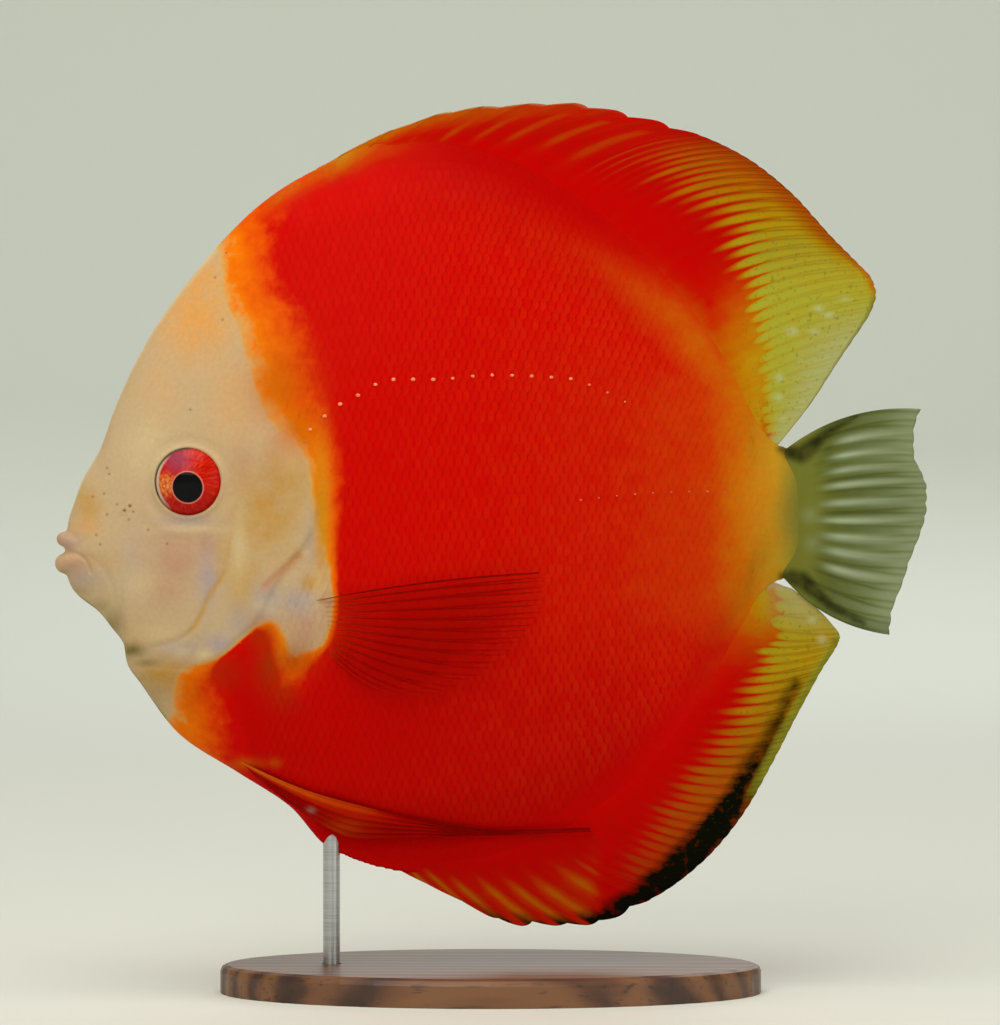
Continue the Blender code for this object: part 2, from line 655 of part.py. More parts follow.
def main():
    for old in list(bpy.data.objects):
        bpy.data.objects.remove(old)
    pale = material("pale_cheek", (0.72, 0.50, 0.24), 0.4)
    red = material("red_flank", (0.70, 0.01, 0.005), 0.38)
    orange = material("orange_stalk", (0.75, 0.28, 0.02), 0.4)
    fin_skin = material("red_yellow_fin", (0.62, 0.22, 0.02), 0.35)
    tail_skin = material("olive_fin", (0.30, 0.30, 0.10), 0.35)
    red_fin = material("red_fin", (0.50, 0.02, 0.01), 0.35)
    iris = material("red_eye", (0.60, 0.01, 0.01), 0.08)
    walnut = material("walnut", (0.13, 0.06, 0.03), 0.45)
    steel = material("brushed_steel", (0.60, 0.60, 0.60), 0.3, 1.0)

    head, thick_head = make_head(pale)
    fish = part_head(head, thick_head)

    torso = slab("torso", 23, 22, torso_place, flesh, red)
    low = belly(ROD_X) - 6
    socket = rod_shape("rod_socket", ROD_RADIUS + GAP, low, belly(ROD_X) + ROD_IN_BODY + GAP)
    socket.location.x -= SHIFT_X * MM
    fish.append(settle(torso, "DIFFERENCE", [socket]))
    fish.append(slab("tail_stalk", 3, 14, stalk_place, flesh, orange))
    fish.append(median_fin("dorsal_fin", DORSAL, back, 1, DORSAL_SPINES, 0.47, DORSAL_RAYS,
                           0.07, fin_skin))
    fish.append(median_fin("anal_fin", ANAL, belly, -1, ANAL_SPINES, 0.36, ANAL_RAYS,
                           0.06, fin_skin))
    fish.append(make_tail_fin(tail_skin))
    for side, hand in ((-1, "left"), (1, "right")):
        fish.append(make_pectoral("pectoral_fin_" + hand, side, red_fin))
        fish.append(make_pelvic("pelvic_fin_" + hand, side, red_fin))
        fish.append(eyeball("eye_" + hand, side, 0.0, iris))

    pose = bpy.data.objects.new("fish_pose", None)
    bpy.context.scene.collection.objects.link(pose)
    pose.location = Vector((SHIFT_X, 0, LIFT)) * MM
    for piece in fish:
        piece.parent = pose
    stand = [make_base(walnut), make_rod(steel)]

    group = bpy.data.collections.new("discus_fish")
    bpy.context.scene.collection.children.link(group)
    for piece in fish + stand:
        for old_group in list(piece.users_collection):
            old_group.objects.unlink(piece)
        group.objects.link(piece)


main()
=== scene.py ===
import math

import bmesh
import bpy
import numpy as np
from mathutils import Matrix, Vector


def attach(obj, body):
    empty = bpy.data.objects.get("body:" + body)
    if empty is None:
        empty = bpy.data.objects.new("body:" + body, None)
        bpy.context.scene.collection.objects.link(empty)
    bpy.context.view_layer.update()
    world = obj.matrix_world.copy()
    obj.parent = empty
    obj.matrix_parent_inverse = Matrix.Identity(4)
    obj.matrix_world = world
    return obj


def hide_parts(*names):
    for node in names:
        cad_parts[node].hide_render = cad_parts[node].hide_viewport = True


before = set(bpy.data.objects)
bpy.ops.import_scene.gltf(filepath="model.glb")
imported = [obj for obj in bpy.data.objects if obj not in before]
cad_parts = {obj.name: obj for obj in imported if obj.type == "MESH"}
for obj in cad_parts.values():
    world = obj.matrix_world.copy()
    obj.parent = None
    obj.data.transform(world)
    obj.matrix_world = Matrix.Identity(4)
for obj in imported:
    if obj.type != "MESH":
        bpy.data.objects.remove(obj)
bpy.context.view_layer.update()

# A red discus with a pale face, swimming level on a small stand, faces -X. Lengths are in
# millimetres in the fish's own plane: x runs to the tail and z is the height above the lowest
# tip of the anal fin. toWorld brings them to metres in the room.
mm = 0.001
fishPlace = {"shiftX": 0.15, "lift": 11.0}
chance = np.random.default_rng(7)
hands = (("left", -1), ("right", 1))
# The camera looks level along +Y from this far, at the middle of the frame.
studio = {
    "distance": 800.0, "frameHeight": 182.0, "middleX": 1.66, "middleZ": 85.1,
    "floorRadius": 1.2, "bend": 3.0, "wall": 1.0, "paper": "#DFE1D8",
}

# The profile, from the mouth over the back and under the belly to the tail fin.
forehead = [(-75.5, 67.6), (-75.3, 71.0), (-75.0, 73.0), (-73.9, 76.4), (-72.6, 79.9),
            (-69.5, 85.4), (-66.5, 93.6), (-60.6, 105.5), (-51.8, 117.7), (-42.9, 127.3)]
chin = [(-75.5, 67.0), (-75.4, 63.5), (-74.5, 60.7), (-73.1, 59.1), (-69.5, 56.3), (-67.4, 53.6),
        (-65.2, 50.6), (-64.7, 47.4), (-62.4, 43.9), (-55.3, 34.6), (-44.7, 27.7)]
profile = {
    "back": forehead + [
        (-36.7, 131.4), (-28.7, 133.7), (-18.9, 135.8), (-9.1, 135.6), (0.6, 132.5), (9.5, 127.5),
        (18.4, 121.1), (26.4, 113.6), (34.4, 106.0), (40.6, 98.0), (45.0, 90.9), (47.1, 86.5), (50.3, 85.4),
        (53.5, 84.6), (59.0, 83.6)],
    "belly": chin + [
        (-35.8, 22.5), (-28.7, 18.5), (-18.9, 15.4), (-10.9, 15.8), (-2.9, 17.2), (5.1, 19.5), (13.0, 23.1),
        (20.7, 28.1), (27.8, 34.1), (34.4, 41.4), (39.1, 47.9), (42.3, 53.3), (45.0, 57.7), (47.1, 61.8),
        (53.5, 63.2), (59.0, 64.4)],
    # where the flesh closes to a ridge, a little way out into the fins
    "crest": forehead + [
        (-36.7, 132.1), (-28.7, 136.2), (-18.9, 139.2), (-9.1, 139.7), (0.6, 137.2), (18.4, 126.1),
        (34.4, 110.3), (40.6, 102.1), (45.0, 94.8), (47.1, 90.2), (50.3, 86.2), (53.5, 85.2), (59.0, 84.4)],
    "keel": chin + [
        (-35.8, 21.8), (-28.7, 14.2), (-18.9, 12.4), (-10.9, 11.7), (-2.9, 13.0), (13.0, 18.6),
        (27.8, 29.5), (34.4, 36.9), (39.1, 43.7), (45.0, 54.3), (47.1, 58.9), (50.3, 61.9), (53.5, 62.8),
        (59.0, 63.6)],
    # how far the scaly flesh climbs the fins before the bare rays begin
    "sheathTop": forehead + [
        (-36.7, 132.0), (-28.7, 136.6), (-18.9, 140.6), (-9.1, 141.8), (0.6, 140.2), (9.5, 136.6),
        (18.4, 131.3), (26.4, 124.6), (34.4, 115.6), (40.6, 106.4), (45.0, 97.6), (47.1, 91.6),
        (50.3, 86.6), (53.5, 85.4), (59.0, 84.4)],
    "sheathLow": chin + [
        (-35.8, 21.9), (-28.7, 14.4), (-18.9, 10.7), (-10.9, 9.6), (-2.9, 10.2), (5.1, 12.0), (13.0, 15.4),
        (20.7, 20.2), (27.8, 26.4), (34.4, 34.0), (39.1, 41.4), (42.3, 47.4), (45.0, 53.0), (47.1, 58.0),
        (50.3, 61.6), (53.5, 62.6), (59.0, 63.6)],
}
# Half the width of the flesh along the fish, the height where it is widest, and how the width
# falls off to the ridges: 0.5 is an ellipse and 1 a lens.
girth = {
    "width": [
        (-75.5, 1.8), (-74.8, 3.1), (-73.4, 4.3), (-71.0, 5.6), (-67.7, 6.8), (-60.6, 8.9), (-53.9, 10.3),
        (-44.7, 12.0), (-34.0, 13.0), (-25.1, 13.2), (-12.7, 12.6), (1.5, 11.1), (19.3, 8.6), (37.0, 5.6),
        (47.1, 3.7), (50.5, 2.6), (53.0, 1.6), (54.3, 1.16), (55.5, 0.84), (56.4, 0.6), (59.0, 0.3)],
    "middle": [(-77.0, 67.5), (-67.7, 67.1), (-53.9, 68.4), (-34.0, 69.6), (1.5, 72.4), (53.5, 74.2)],
    "fullness": [(-77.0, 0.5), (-60.0, 0.56), (-40.0, 0.64), (-20.0, 0.72), (30.0, 0.75), (53.5, 0.6)],
}


def smoothLine(points):
    # a cubic through the points that never overshoots them, for whole arrays
    xs, ys = np.array(points, float).T
    steps = np.diff(xs)
    rises = np.diff(ys) / steps
    before, after = rises[:-1], rises[1:]
    same = before * after > 0
    total = np.where(same, before + after, 1.0)
    slopes = np.concatenate([rises[:1], np.where(same, 2 * before * after / total, 0), rises[-1:]])

    def at(x):
        x = np.clip(x, xs[0], xs[-1])
        i = np.clip(np.searchsorted(xs, x) - 1, 0, len(steps) - 1)
        t = (x - xs[i]) / steps[i]
        return ((1 + 2 * t) * (1 - t) ** 2 * ys[i] + t * (1 - t) ** 2 * steps[i] * slopes[i]
                + t * t * (3 - 2 * t) * ys[i + 1] + t * t * (t - 1) * steps[i] * slopes[i + 1])

    return at


def pairLine(rows):
    # two smooth functions of the first number in each row, read together as x and z
    xOf = smoothLine([(r[0], r[1]) for r in rows])
    zOf = smoothLine([(r[0], r[2]) for r in rows])
    return lambda t: (xOf(t), zOf(t))


def routeLine(points):
    # a smooth line through the points, by the share of its length
    gone = np.concatenate([[0], np.cumsum([math.dist(a[:2], b[:2]) for a, b in zip(points, points[1:])])])
    return pairLine([(g / gone[-1], p[0], p[1]) for g, p in zip(gone, points)])


def traced(points, count):
    # the smooth line through the points as a list of its own points
    xs, zs = routeLine(points)(np.linspace(0, 1, count))
    return list(zip(xs.tolist(), zs.tolist()))


def ease(low, high, value):
    # 0 below low, 1 above high, and a soft rise between; low may be the larger one
    t = np.clip((value - low) / (high - low), 0, 1)
    return t * t * (3 - 2 * t)


def hill(distance, reach):
    return np.exp(-(distance / reach) ** 2)


def lerp(a, b, t):
    return a + (b - a) * t


def distanceTo(line, x, z):
    # shortest way to an open line, in mm
    best = np.full(np.shape(x), 1e9)
    for (x0, z0), (x1, z1) in zip(line, line[1:]):
        dx, dz = x1 - x0, z1 - z0
        t = np.clip(((x - x0) * dx + (z - z0) * dz) / (dx * dx + dz * dz), 0, 1)
        best = np.minimum(best, (x - x0 - t * dx) ** 2 + (z - z0 - t * dz) ** 2)
    return np.sqrt(best)


def beyondLine(line, corners, x, z):
    # distance to the line: positive outside the area that it closes with the corners
    ring = line + corners
    within = np.zeros(np.shape(x), bool)
    for (x0, z0), (x1, z1) in zip(ring, ring[1:] + ring[:1]):
        if z0 != z1:
            within ^= ((z0 > z) != (z1 > z)) & (x < x0 + (z - z0) * (x1 - x0) / (z1 - z0))
    return np.where(within, -1, 1) * distanceTo(line, x, z)


def ribbon(rows, x, z):
    # distance to a band whose half width is the third number of each row: negative inside it
    best = np.full(np.shape(x), 1e9)
    for (x0, z0, w0), (x1, z1, w1) in zip(rows, rows[1:]):
        dx, dz = x1 - x0, z1 - z0
        t = np.clip(((x - x0) * dx + (z - z0) * dz) / (dx * dx + dz * dz), 0, 1)
        best = np.minimum(best, np.hypot(x - x0 - t * dx, z - z0 - t * dz) - lerp(w0, w1, t))
    return best


def patches(rows, x, z):
    # soft oval patches, each by its middle, its two reaches and its strength
    total = np.zeros(np.shape(x))
    for px, pz, rx, rz, strength in rows:
        total = np.maximum(total, strength * np.exp(-((x - px) / rx) ** 2 - ((z - pz) / rz) ** 2))
    return total


back, belly = smoothLine(profile["back"]), smoothLine(profile["belly"])
crest, keel = smoothLine(profile["crest"]), smoothLine(profile["keel"])
sheathTop, sheathLow = smoothLine(profile["sheathTop"]), smoothLine(profile["sheathLow"])
width, middleHeight = smoothLine(girth["width"]), smoothLine(girth["middle"])
fullness = smoothLine(girth["fullness"])


def lensWidth(x, z):
    # half the thickness of head and body, without the flesh at the feet of the fins
    middle = middleHeight(x)
    reach = np.where(z > middle, crest(x) - middle, middle - keel(x))
    share = np.clip(np.abs(z - middle) / np.maximum(reach, 0.1), 0, 1)
    shoulder = 0.8 * np.exp(-((x + 31.0) / 3.0) ** 2 - ((z - 54.5) / 4.5) ** 2)
    return width(x) * (1 - share * share) ** fullness(x) + shoulder


def fleshWidth(x, z):
    # the same with the scaly flesh that tapers evenly up the feet of the back and belly fins
    lens = lensWidth(x, z)
    upper = z > middleHeight(x)
    way = np.where(upper, 1.0, -1.0)
    foot, top = np.where(upper, back(x), belly(x)), np.where(upper, sheathTop(x), sheathLow(x))
    start = foot - 9.0 * way
    room = np.abs(top - foot)
    length = room + 9.0
    t = np.clip((z - start) * way / length, 0, 1)
    wide = lensWidth(x, start)
    slope = (lensWidth(x, start + 0.3 * way) - lensWidth(x, start - 0.3 * way)) / 0.6 * length
    wedge = ((1 + 2 * t) * (1 - t) ** 2 * wide + t * (1 - t) ** 2 * slope + t * t * (3 - 2 * t) * 0.24
             - t * t * (t - 1) * 0.6)
    inFin = np.where(upper, ease(-40, -33, x), ease(-33, -25, x)) * ease(0.3, 2.0, room)
    return lerp(lens, wedge, inFin * ((z - start) * way > 0))


# Lines on the head and shoulder, from their front or lower end.
headLines = {
    "gillEdge": [
        (-64.7, 47.9), (-60.6, 47.2), (-53.5, 46.7), (-49.1, 47.9), (-44.7, 51.5), (-40.7, 55.8),
        (-38.4, 60.7), (-34.4, 66.2), (-31.3, 71.0), (-30.4, 75.5), (-31.5, 81.7), (-34.0, 87.0),
        (-36.7, 89.7)],
    "cheekEdge": [
        (-45.4, 78.0), (-46.3, 70.1), (-47.5, 63.4), (-49.6, 60.0), (-51.3, 56.6), (-53.0, 53.5),
        (-56.0, 51.2), (-60.0, 50.2)],
    "mouthFold": [(-75.0, 67.2), (-73.4, 66.7), (-72.0, 65.6), (-71.2, 63.6)],
    "jawFold": [(-71.8, 66.4), (-69.2, 64.4), (-67.4, 61.2), (-66.6, 57.0)],
    "gillFold": [(-40.2, 61.0), (-37.4, 63.6), (-34.3, 66.6)],
    "underEye": [(-61.5, 74.5), (-58.0, 71.4), (-53.5, 70.6), (-48.5, 72.2), (-46.0, 75.6)],
}
# The lesser folds: how many points draw each, its height over the flesh and its reach.
headFolds = {"mouthFold": (12, -0.34, 0.34), "jawFold": (12, -0.14, 0.6), "gillFold": (8, -0.16, 0.5),
             "underEye": (16, 0.14, 0.9)}
headPores = [(-68.3, 82.0), (-66.5, 75.5), (-64.4, 72.8), (-68.3, 73.7), (-69.5, 68.4), (-70.2, 70.1),
             (-68.8, 77.4), (-70.8, 76.9), (-61.0, 71.0), (-57.6, 68.5), (-47.1, 120.2),
             (-49.1, 115.8), (-47.8, 108.3), (-53.5, 92.3), (-63.6, 74.2), (-67.9, 80.9)]
nostrilSpots = [(-65.2, 74.4), (-64.2, 75.2)]
eye = {"x": -53.9, "z": 79.5, "radius": 6.2, "depth": 3.4, "sunk": 1.0, "turn": math.radians(10),
       "opening": 5.85}


def headRelief(x, z):
    # folds, slits and pits of the head, in mm over the plain flesh
    inFront = [(-60.0, 110.0), (-90.0, 110.0), (-90.0, 47.9)]
    gill = beyondLine(traced(headLines["gillEdge"], 40), inFront, x, z)
    fade = ease(91.5, 85.0, z) * lerp(0.45, 1.0, ease(-62.0, -50.0, x))
    proud = 0.42 * ease(-15.0, -1.5, gill) * ease(-54.0, -44.0, x)
    relief = fade * np.where(gill < 0, proud * (1 - 0.9 * hill(gill, 0.7)), 0.05 * hill(gill, 0.3))
    relief -= fade * 0.2 * hill(gill - 0.35, 0.6)
    cheek = distanceTo(traced(headLines["cheekEdge"], 24), x, z)
    relief += (0.1 * hill(cheek - 1.2, 0.8) - 0.14 * hill(cheek, 0.5)) * ease(78.0, 72.0, z)
    for line, (count, height, reach) in headFolds.items():
        relief += height * hill(distanceTo(traced(headLines[line], count), x, z), reach)
    for px, pz in headPores:
        relief -= 0.12 * hill(np.hypot(x - px, z - pz), 0.22)
    for px, pz in nostrilSpots:
        away = np.hypot(x - px, z - pz)
        relief += 0.12 * hill(away - 0.5, 0.22) - 0.4 * hill(away, 0.28)
    # the swollen rim of the eye, and the socket inside it
    away = np.hypot((x - eye["x"]) / math.cos(eye["turn"]), z - eye["z"]) - eye["opening"]
    relief += 0.3 * hill(away - 0.45, 0.42) - 0.12 * hill(away - 1.8, 0.8)
    return relief - 3.4 * ease(0.12, -0.35, away)


def measured(points):
    # the flanks stand nearer to the eye than the middle plane in which the markings were measured
    closer = studio["distance"] / (studio["distance"] - np.abs(points[..., 1]))
    level = studio["middleZ"] - fishPlace["lift"]
    return (studio["middleX"] + (points[..., 0] - studio["middleX"]) * closer,
            level + (points[..., 2] - level) * closer)


def toWorld(points):
    return (points + np.array([fishPlace["shiftX"], 0.0, fishPlace["lift"]])) * mm


def bodyPlace(x, y, z):
    # where a point lies on an unwrap of the fish's own skin, each side in its own half: round the
    # snout and over the ridges it is spread out, so that no face is seen edge on
    along = x + np.abs(y) * np.exp(-(x + 77.0) / 6.0)
    middle = middleHeight(x)
    reach = np.where(z > middle, sheathTop(x) - middle, middle - sheathLow(x))
    share = np.clip((z - middle) / np.maximum(reach, 1.0), -1, 1)
    around = 0.5 + np.arcsin(share) / math.pi
    return np.stack([0.02 + 0.96 * (along + 78.0) / 138.0, 0.01 + 0.47 * around], -1)


def linked(name, data):
    made = bpy.data.objects.new(name, data)
    bpy.context.scene.collection.objects.link(made)
    return made


def setPoints(mesh, points):
    mesh.vertices.foreach_set("co", toWorld(points).astype(np.float32).ravel())


def setFields(mesh, fields):
    for name, values in fields.items():
        layer = mesh.attributes.new(name, "FLOAT", "POINT")
        layer.data.foreach_set("value", np.ravel(values).astype(np.float32))


def setMap(mesh, places):
    # the unwrap for the bake: one place for each corner of each face
    layer = mesh.uv_layers.new(name="OFBake")
    layer.data.foreach_set("uv", places.astype(np.float32).ravel())


def addMesh(name, points, faces, look, fields=None, places=None):
    # one object from arrays: points in mm, faces as rows of point numbers, and for each point
    # the values that the finish reads
    mesh = bpy.data.meshes.new(name)
    mesh.vertices.add(len(points))
    setPoints(mesh, points)
    mesh.loops.add(faces.size)
    mesh.loops.foreach_set("vertex_index", faces.astype(np.int32).ravel())
    mesh.polygons.add(len(faces))
    mesh.polygons.foreach_set("loop_start", np.arange(0, faces.size, faces.shape[1], dtype=np.int32))
    mesh.update(calc_edges=True)
    mesh.validate()
    setFields(mesh, fields or {})
    if places is not None:
        setMap(mesh, places)
    mesh.shade_smooth()
    mesh.materials.append(look)
    return linked(name, mesh)


def dressUp(piece, nodes=()):
    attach(piece, "root")
    if nodes:
        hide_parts(*nodes)


def sheetFaces(rows, columns):
    # both faces of a sheet drawn on one grid and the wall round its rim; the far face's points
    # are numbered after the near one's
    at = np.arange(rows * columns).reshape(rows, columns)
    near = np.stack([at[:-1, :-1], at[:-1, 1:], at[1:, 1:], at[1:, :-1]], -1).reshape(-1, 4)
    rim = np.concatenate([at[0, :-1], at[:-1, -1], at[-1, :0:-1], at[:0:-1, 0]])
    after = np.roll(rim, -1)
    wall = np.stack([rim, rim + at.size, after + at.size, after], -1)
    return np.concatenate([near, near[:, ::-1] + at.size, wall]), len(near)


def closedSheet(x, z, low, high):
    # a sheet between two surfaces over the same grid, turned so that its faces look outwards
    points = np.concatenate([np.stack([x, y, z], -1).reshape(-1, 3) for y in (low, high)])
    faces, nearCount = sheetFaces(*x.shape)
    a, b, c = (points[faces[:nearCount, k]] for k in range(3))
    if np.cross(b - a, c - a)[:, 1].sum() > 0:
        faces = faces[:, ::-1]
    return points, faces, nearCount


def roundBody(wide, tall, sides):
    # rings of points by their radius and height, between a first and a last point: the places
    # across and up, the height outwards, and the triangles
    angle = np.linspace(0, 2 * math.pi, sides, endpoint=False)
    across = np.concatenate([[0], np.outer(wide, np.cos(angle)).ravel(), [0]])
    upward = np.concatenate([[0], np.outer(wide, np.sin(angle)).ravel(), [0]])
    out = np.concatenate([[tall[0]], np.repeat(tall[1:-1], sides), [tall[-1]]])
    at = 1 + np.arange(len(wide) * sides).reshape(-1, sides)
    over = np.roll(at, -1, axis=1)
    cap = np.stack([np.zeros(sides, int), at[0], over[0]], -1)
    floor = np.stack([np.full(sides, at.size + 1), over[-1], at[-1]], -1)
    walls = np.stack([at[:-1], at[1:], over[1:], over[:-1]], -1).reshape(-1, 4)
    return across, upward, out, np.concatenate([cap, floor, walls[:, :3], walls[:, [0, 2, 3]]])


def manyFaces(faces, times, step):
    # the same faces again for each copy of the points
    return (faces[None] + (np.arange(times) * step)[:, None, None]).reshape(-1, faces.shape[1])


print("stage: materials")


def linear(hexText):
    # sRGB hex to the linear colour that a shader takes
    parts = [int(hexText[i:i + 2], 16) / 255 for i in (1, 3, 5)]
    return tuple(c / 12.92 if c <= 0.04045 else ((c + 0.055) / 1.055) ** 2.4 for c in parts) + (1.0,)


def addNode(tree, kind, inputs=None, out=0, stops=None, **settings):
    # one node with its settings, the colours of a ramp and its inputs: a link, a value, a colour
    # in hex, or the name of the field of values on the mesh that it reads
    node = tree.nodes.new("ShaderNode" + kind)
    for key, value in settings.items():
        setattr(node, key, value)
    if stops:
        ramp = node.color_ramp
        ramp.elements.remove(ramp.elements[1])
        ramp.elements[0].position = stops[0][0]
        ramp.elements[0].color = linear(stops[0][1])
        for place, colour in stops[1:]:
            ramp.elements.new(place).color = linear(colour)
    for key, value in (inputs or {}).items():
        if isinstance(value, str):
            isHex = value.startswith("#")
            value = linear(value) if isHex else addNode(tree, "Attribute", out="Fac", attribute_name=value)
        if isinstance(value, bpy.types.NodeSocket):
            tree.links.new(value, node.inputs[key])
        else:
            node.inputs[key].default_value = value
    return node.outputs[out] if node.outputs else node


def newLook(name):
    look = bpy.data.materials.new(name)
    look.use_nodes = True
    look.node_tree.nodes.clear()
    return look, look.node_tree


# Wet fish skin: living pigment under clear slime. The colour runs from the pale, pink-washed face
# over an orange shoulder to the red flank, mottled where two colours meet, and warms to ochre
# towards the tail. The slime gives a soft, broad shine.
skinPaint = {
    "face": "#C6AB84",
    # fields of the mesh with their colours: washes of the face, of which the cream one is partly painted
    # highlight and the olive one partly painted shade, and those that lie over the red
    "tints": [("pinkTint", "#B67A66"), ("lilacTint", "#A39AA4"), ("ochreTint", "#BE8A22"),
              ("peachTint", "#E89C3C"), ("oliveAndShade", "#76693A"), ("creamAndHighlight", "#DCCB9A")],
    # the dusk orange is in part a painted highlight at the root of the pelvic fin
    "overTints": [("umberTint", "#9C3404"), ("duskAndHighlight", "#C66006"), ("amberTint", "#CC8A1A"),
                  # the deep red also darkens the belly as painted shade
                  ("deepRedAndShade", "#B00401"), ("tailTint", "#74722E"), ("tailDark", "#26240F")],
    "shoulder": [(0.20, "#D9A85C"), (0.27, "#E8921C"), (0.34, "#F07A06"), (0.48, "#EA6204"),
                 (0.62, "#DD3C03"), (0.74, "#CF0C02")],
    "flank": [(0.0, "#CC0402"), (0.18, "#C81402"), (0.38, "#C63A03"), (0.6, "#C46A06"),
              (0.8, "#B88A1E"), (1.0, "#A4982E")],
    "mottleSize": 3.2, "grainSize": 0.7,
}


def paintSkin(name, scaly):
    look, tree = newLook(name)
    place = addNode(tree, "TexCoord", out="Object")
    mottle = addNode(tree, "TexNoise", {"Vector": place, "Scale": 1 / (skinPaint["mottleSize"] * mm),
                                        "Detail": 4.0, "Roughness": 0.6})
    grain = addNode(tree, "TexNoise", {"Vector": place, "Scale": 1 / (skinPaint["grainSize"] * mm),
                                       "Detail": 2.0})
    rough = addNode(tree, "Math", {0: mottle, 1: 0.75, 2: "shoulder"}, operation="MULTIPLY_ADD")
    rough = addNode(tree, "Math", {0: grain, 1: 0.12, 2: rough}, operation="MULTIPLY_ADD")
    band = addNode(tree, "MapRange", {"Value": rough, "From Min": -0.06, "From Max": 1.94})
    bandColour = addNode(tree, "ValToRGB", {"Fac": band}, stops=skinPaint["shoulder"])
    warm = addNode(tree, "Math", {0: mottle, 1: 0.22, 2: "warmth"}, operation="MULTIPLY_ADD")
    warm = addNode(tree, "Math", {0: warm, 1: 0.11}, operation="SUBTRACT")
    flankColour = addNode(tree, "ValToRGB", {"Fac": warm}, stops=skinPaint["flank"])
    uneven = addNode(tree, "MapRange", {"Value": mottle, "From Min": 0.3, "From Max": 0.7,
                                        "To Min": 0.65, "To Max": 1.2})
    layers = [(addNode(tree, "Math", {0: tint, 1: uneven}, operation="MULTIPLY", use_clamp=True), hue)
              for tint, hue in skinPaint["tints"]]
    onBand = addNode(tree, "MapRange", {"Value": rough, "From Min": 0.08, "From Max": 0.64})
    onFlank = addNode(tree, "MapRange", {"Value": rough, "From Min": 1.15, "From Max": 1.55})
    layers += [(onBand, bandColour), (onFlank, flankColour)] + skinPaint["overTints"]
    colour = skinPaint["face"]
    for amount, hue in layers:
        colour = addNode(tree, "Mix", {0: amount, 6: colour, 7: hue}, out=2, data_type="RGBA")
    if scaly:
        # painted highlight: each scale gets a lighter streak near its rear edge, as if that edge caught the
        # light
        lit = addNode(tree, "Mix", {0: 1.0, 6: colour, 7: "#FFE0C0"}, out=2, data_type="RGBA",
                      blend_type="MULTIPLY")
        lit = addNode(tree, "Mix", {0: 0.11, 6: lit, 7: "#FF7A1E"}, out=2, data_type="RGBA")
        colour = addNode(tree, "Mix", {0: "rearEdgeHighlight", 6: colour, 7: lit}, out=2, data_type="RGBA")
    colour = addNode(tree, "Mix", {0: "pore", 6: colour, 7: "#3A2C18"}, out=2, data_type="RGBA")
    speck = addNode(tree, "MapRange", {"Value": grain, "From Min": 0.25, "From Max": 0.75,
                                       "To Min": 0.95, "To Max": 1.04})
    colour = addNode(tree, "Mix", {0: 1.0, 6: colour, 7: speck}, out=2, data_type="RGBA",
                     blend_type="MULTIPLY")
    shine = addNode(tree, "MapRange", {"Value": mottle, "From Min": 0.3, "From Max": 0.7,
                                       "To Min": 0.34, "To Max": 0.46})
    bump = addNode(tree, "Bump", {"Height": grain, "Strength": 0.2, "Distance": 0.05 * mm})
    wet = addNode(tree, "BsdfPrincipled",
                  {"Base Color": colour, "Roughness": shine, "Normal": bump, "IOR": 1.4,
                   "Specular IOR Level": 0.02, "Coat Weight": 0.004, "Coat Roughness": 0.2})
    addNode(tree, "OutputMaterial", {"Surface": wet})
    return look


def paintFin(name, paint):
    # Fin membrane: clear skin stretched between bony rays, so pigment, rays and clearness vary
    look, tree = newLook(name)
    place = addNode(tree, "TexCoord", out="Object")
    mottle = addNode(tree, "TexNoise", {"Vector": place, "Scale": 1 / (2.2 * mm), "Detail": 4.0})
    across = addNode(tree, "Math", {0: "share", 1: paint["streaks"]}, operation="MULTIPLY")
    along = addNode(tree, "Math", {0: "reach", 1: 3.0}, operation="MULTIPLY")
    ofRays = addNode(tree, "CombineXYZ", {0: across, 1: along})
    streak = addNode(tree, "TexNoise", {"Vector": ofRays, "Scale": 1.0, "Detail": 2.0})
    warm = addNode(tree, "Math", {0: mottle, 1: 0.16, 2: "warmth"}, operation="MULTIPLY_ADD")
    warm = addNode(tree, "Math", {0: streak, 1: 0.14, 2: warm}, operation="MULTIPLY_ADD")
    warm = addNode(tree, "Math", {0: warm, 1: 0.15}, operation="SUBTRACT")
    colour = addNode(tree, "ValToRGB", {"Fac": warm}, stops=paint["stops"])
    blotchy = addNode(tree, "MapRange", {"Value": mottle, "From Min": 0.35, "From Max": 0.65,
                                         "To Min": 0.8, "To Max": 1.12})
    for field, uneven in (("ray", 1.0), ("pale", 1.0), ("dark", blotchy)):
        amount = addNode(tree, "Math", {0: field, 1: uneven}, operation="MULTIPLY", use_clamp=True)
        colour = addNode(tree, "Mix", {0: amount, 6: colour, 7: paint[field]}, out=2, data_type="RGBA")
    # faint dark freckles, only where the membrane is yellow
    freckle = addNode(tree, "TexNoise", {"Vector": place, "Scale": 1 / (0.6 * mm), "Detail": 0.0})
    freckle = addNode(tree, "MapRange", {"Value": freckle, "From Min": 0.66, "From Max": 0.8,
                                         "To Max": paint["freckle"]})
    sunny = addNode(tree, "MapRange", {"Value": "warmth", "From Min": 0.3, "From Max": 0.6})
    freckle = addNode(tree, "Math", {0: freckle, 1: sunny}, operation="MULTIPLY")
    colour = addNode(tree, "Mix", {0: freckle, 6: colour, 7: "#5A5414"}, out=2, data_type="RGBA")
    alpha = addNode(tree, "Math", {0: 1.0, 1: "clear"}, operation="SUBTRACT", use_clamp=True)
    bump = addNode(tree, "Bump", {"Height": mottle, "Strength": 0.3, "Distance": 0.05 * mm})
    skin = addNode(tree, "BsdfPrincipled",
                   {"Base Color": colour, "Roughness": 0.42, "Alpha": alpha, "Normal": bump, "IOR": 1.4,
                    "Specular IOR Level": 0.003, "Coat Weight": 0.004, "Coat Roughness": 0.2})
    addNode(tree, "OutputMaterial", {"Surface": skin})
    return look


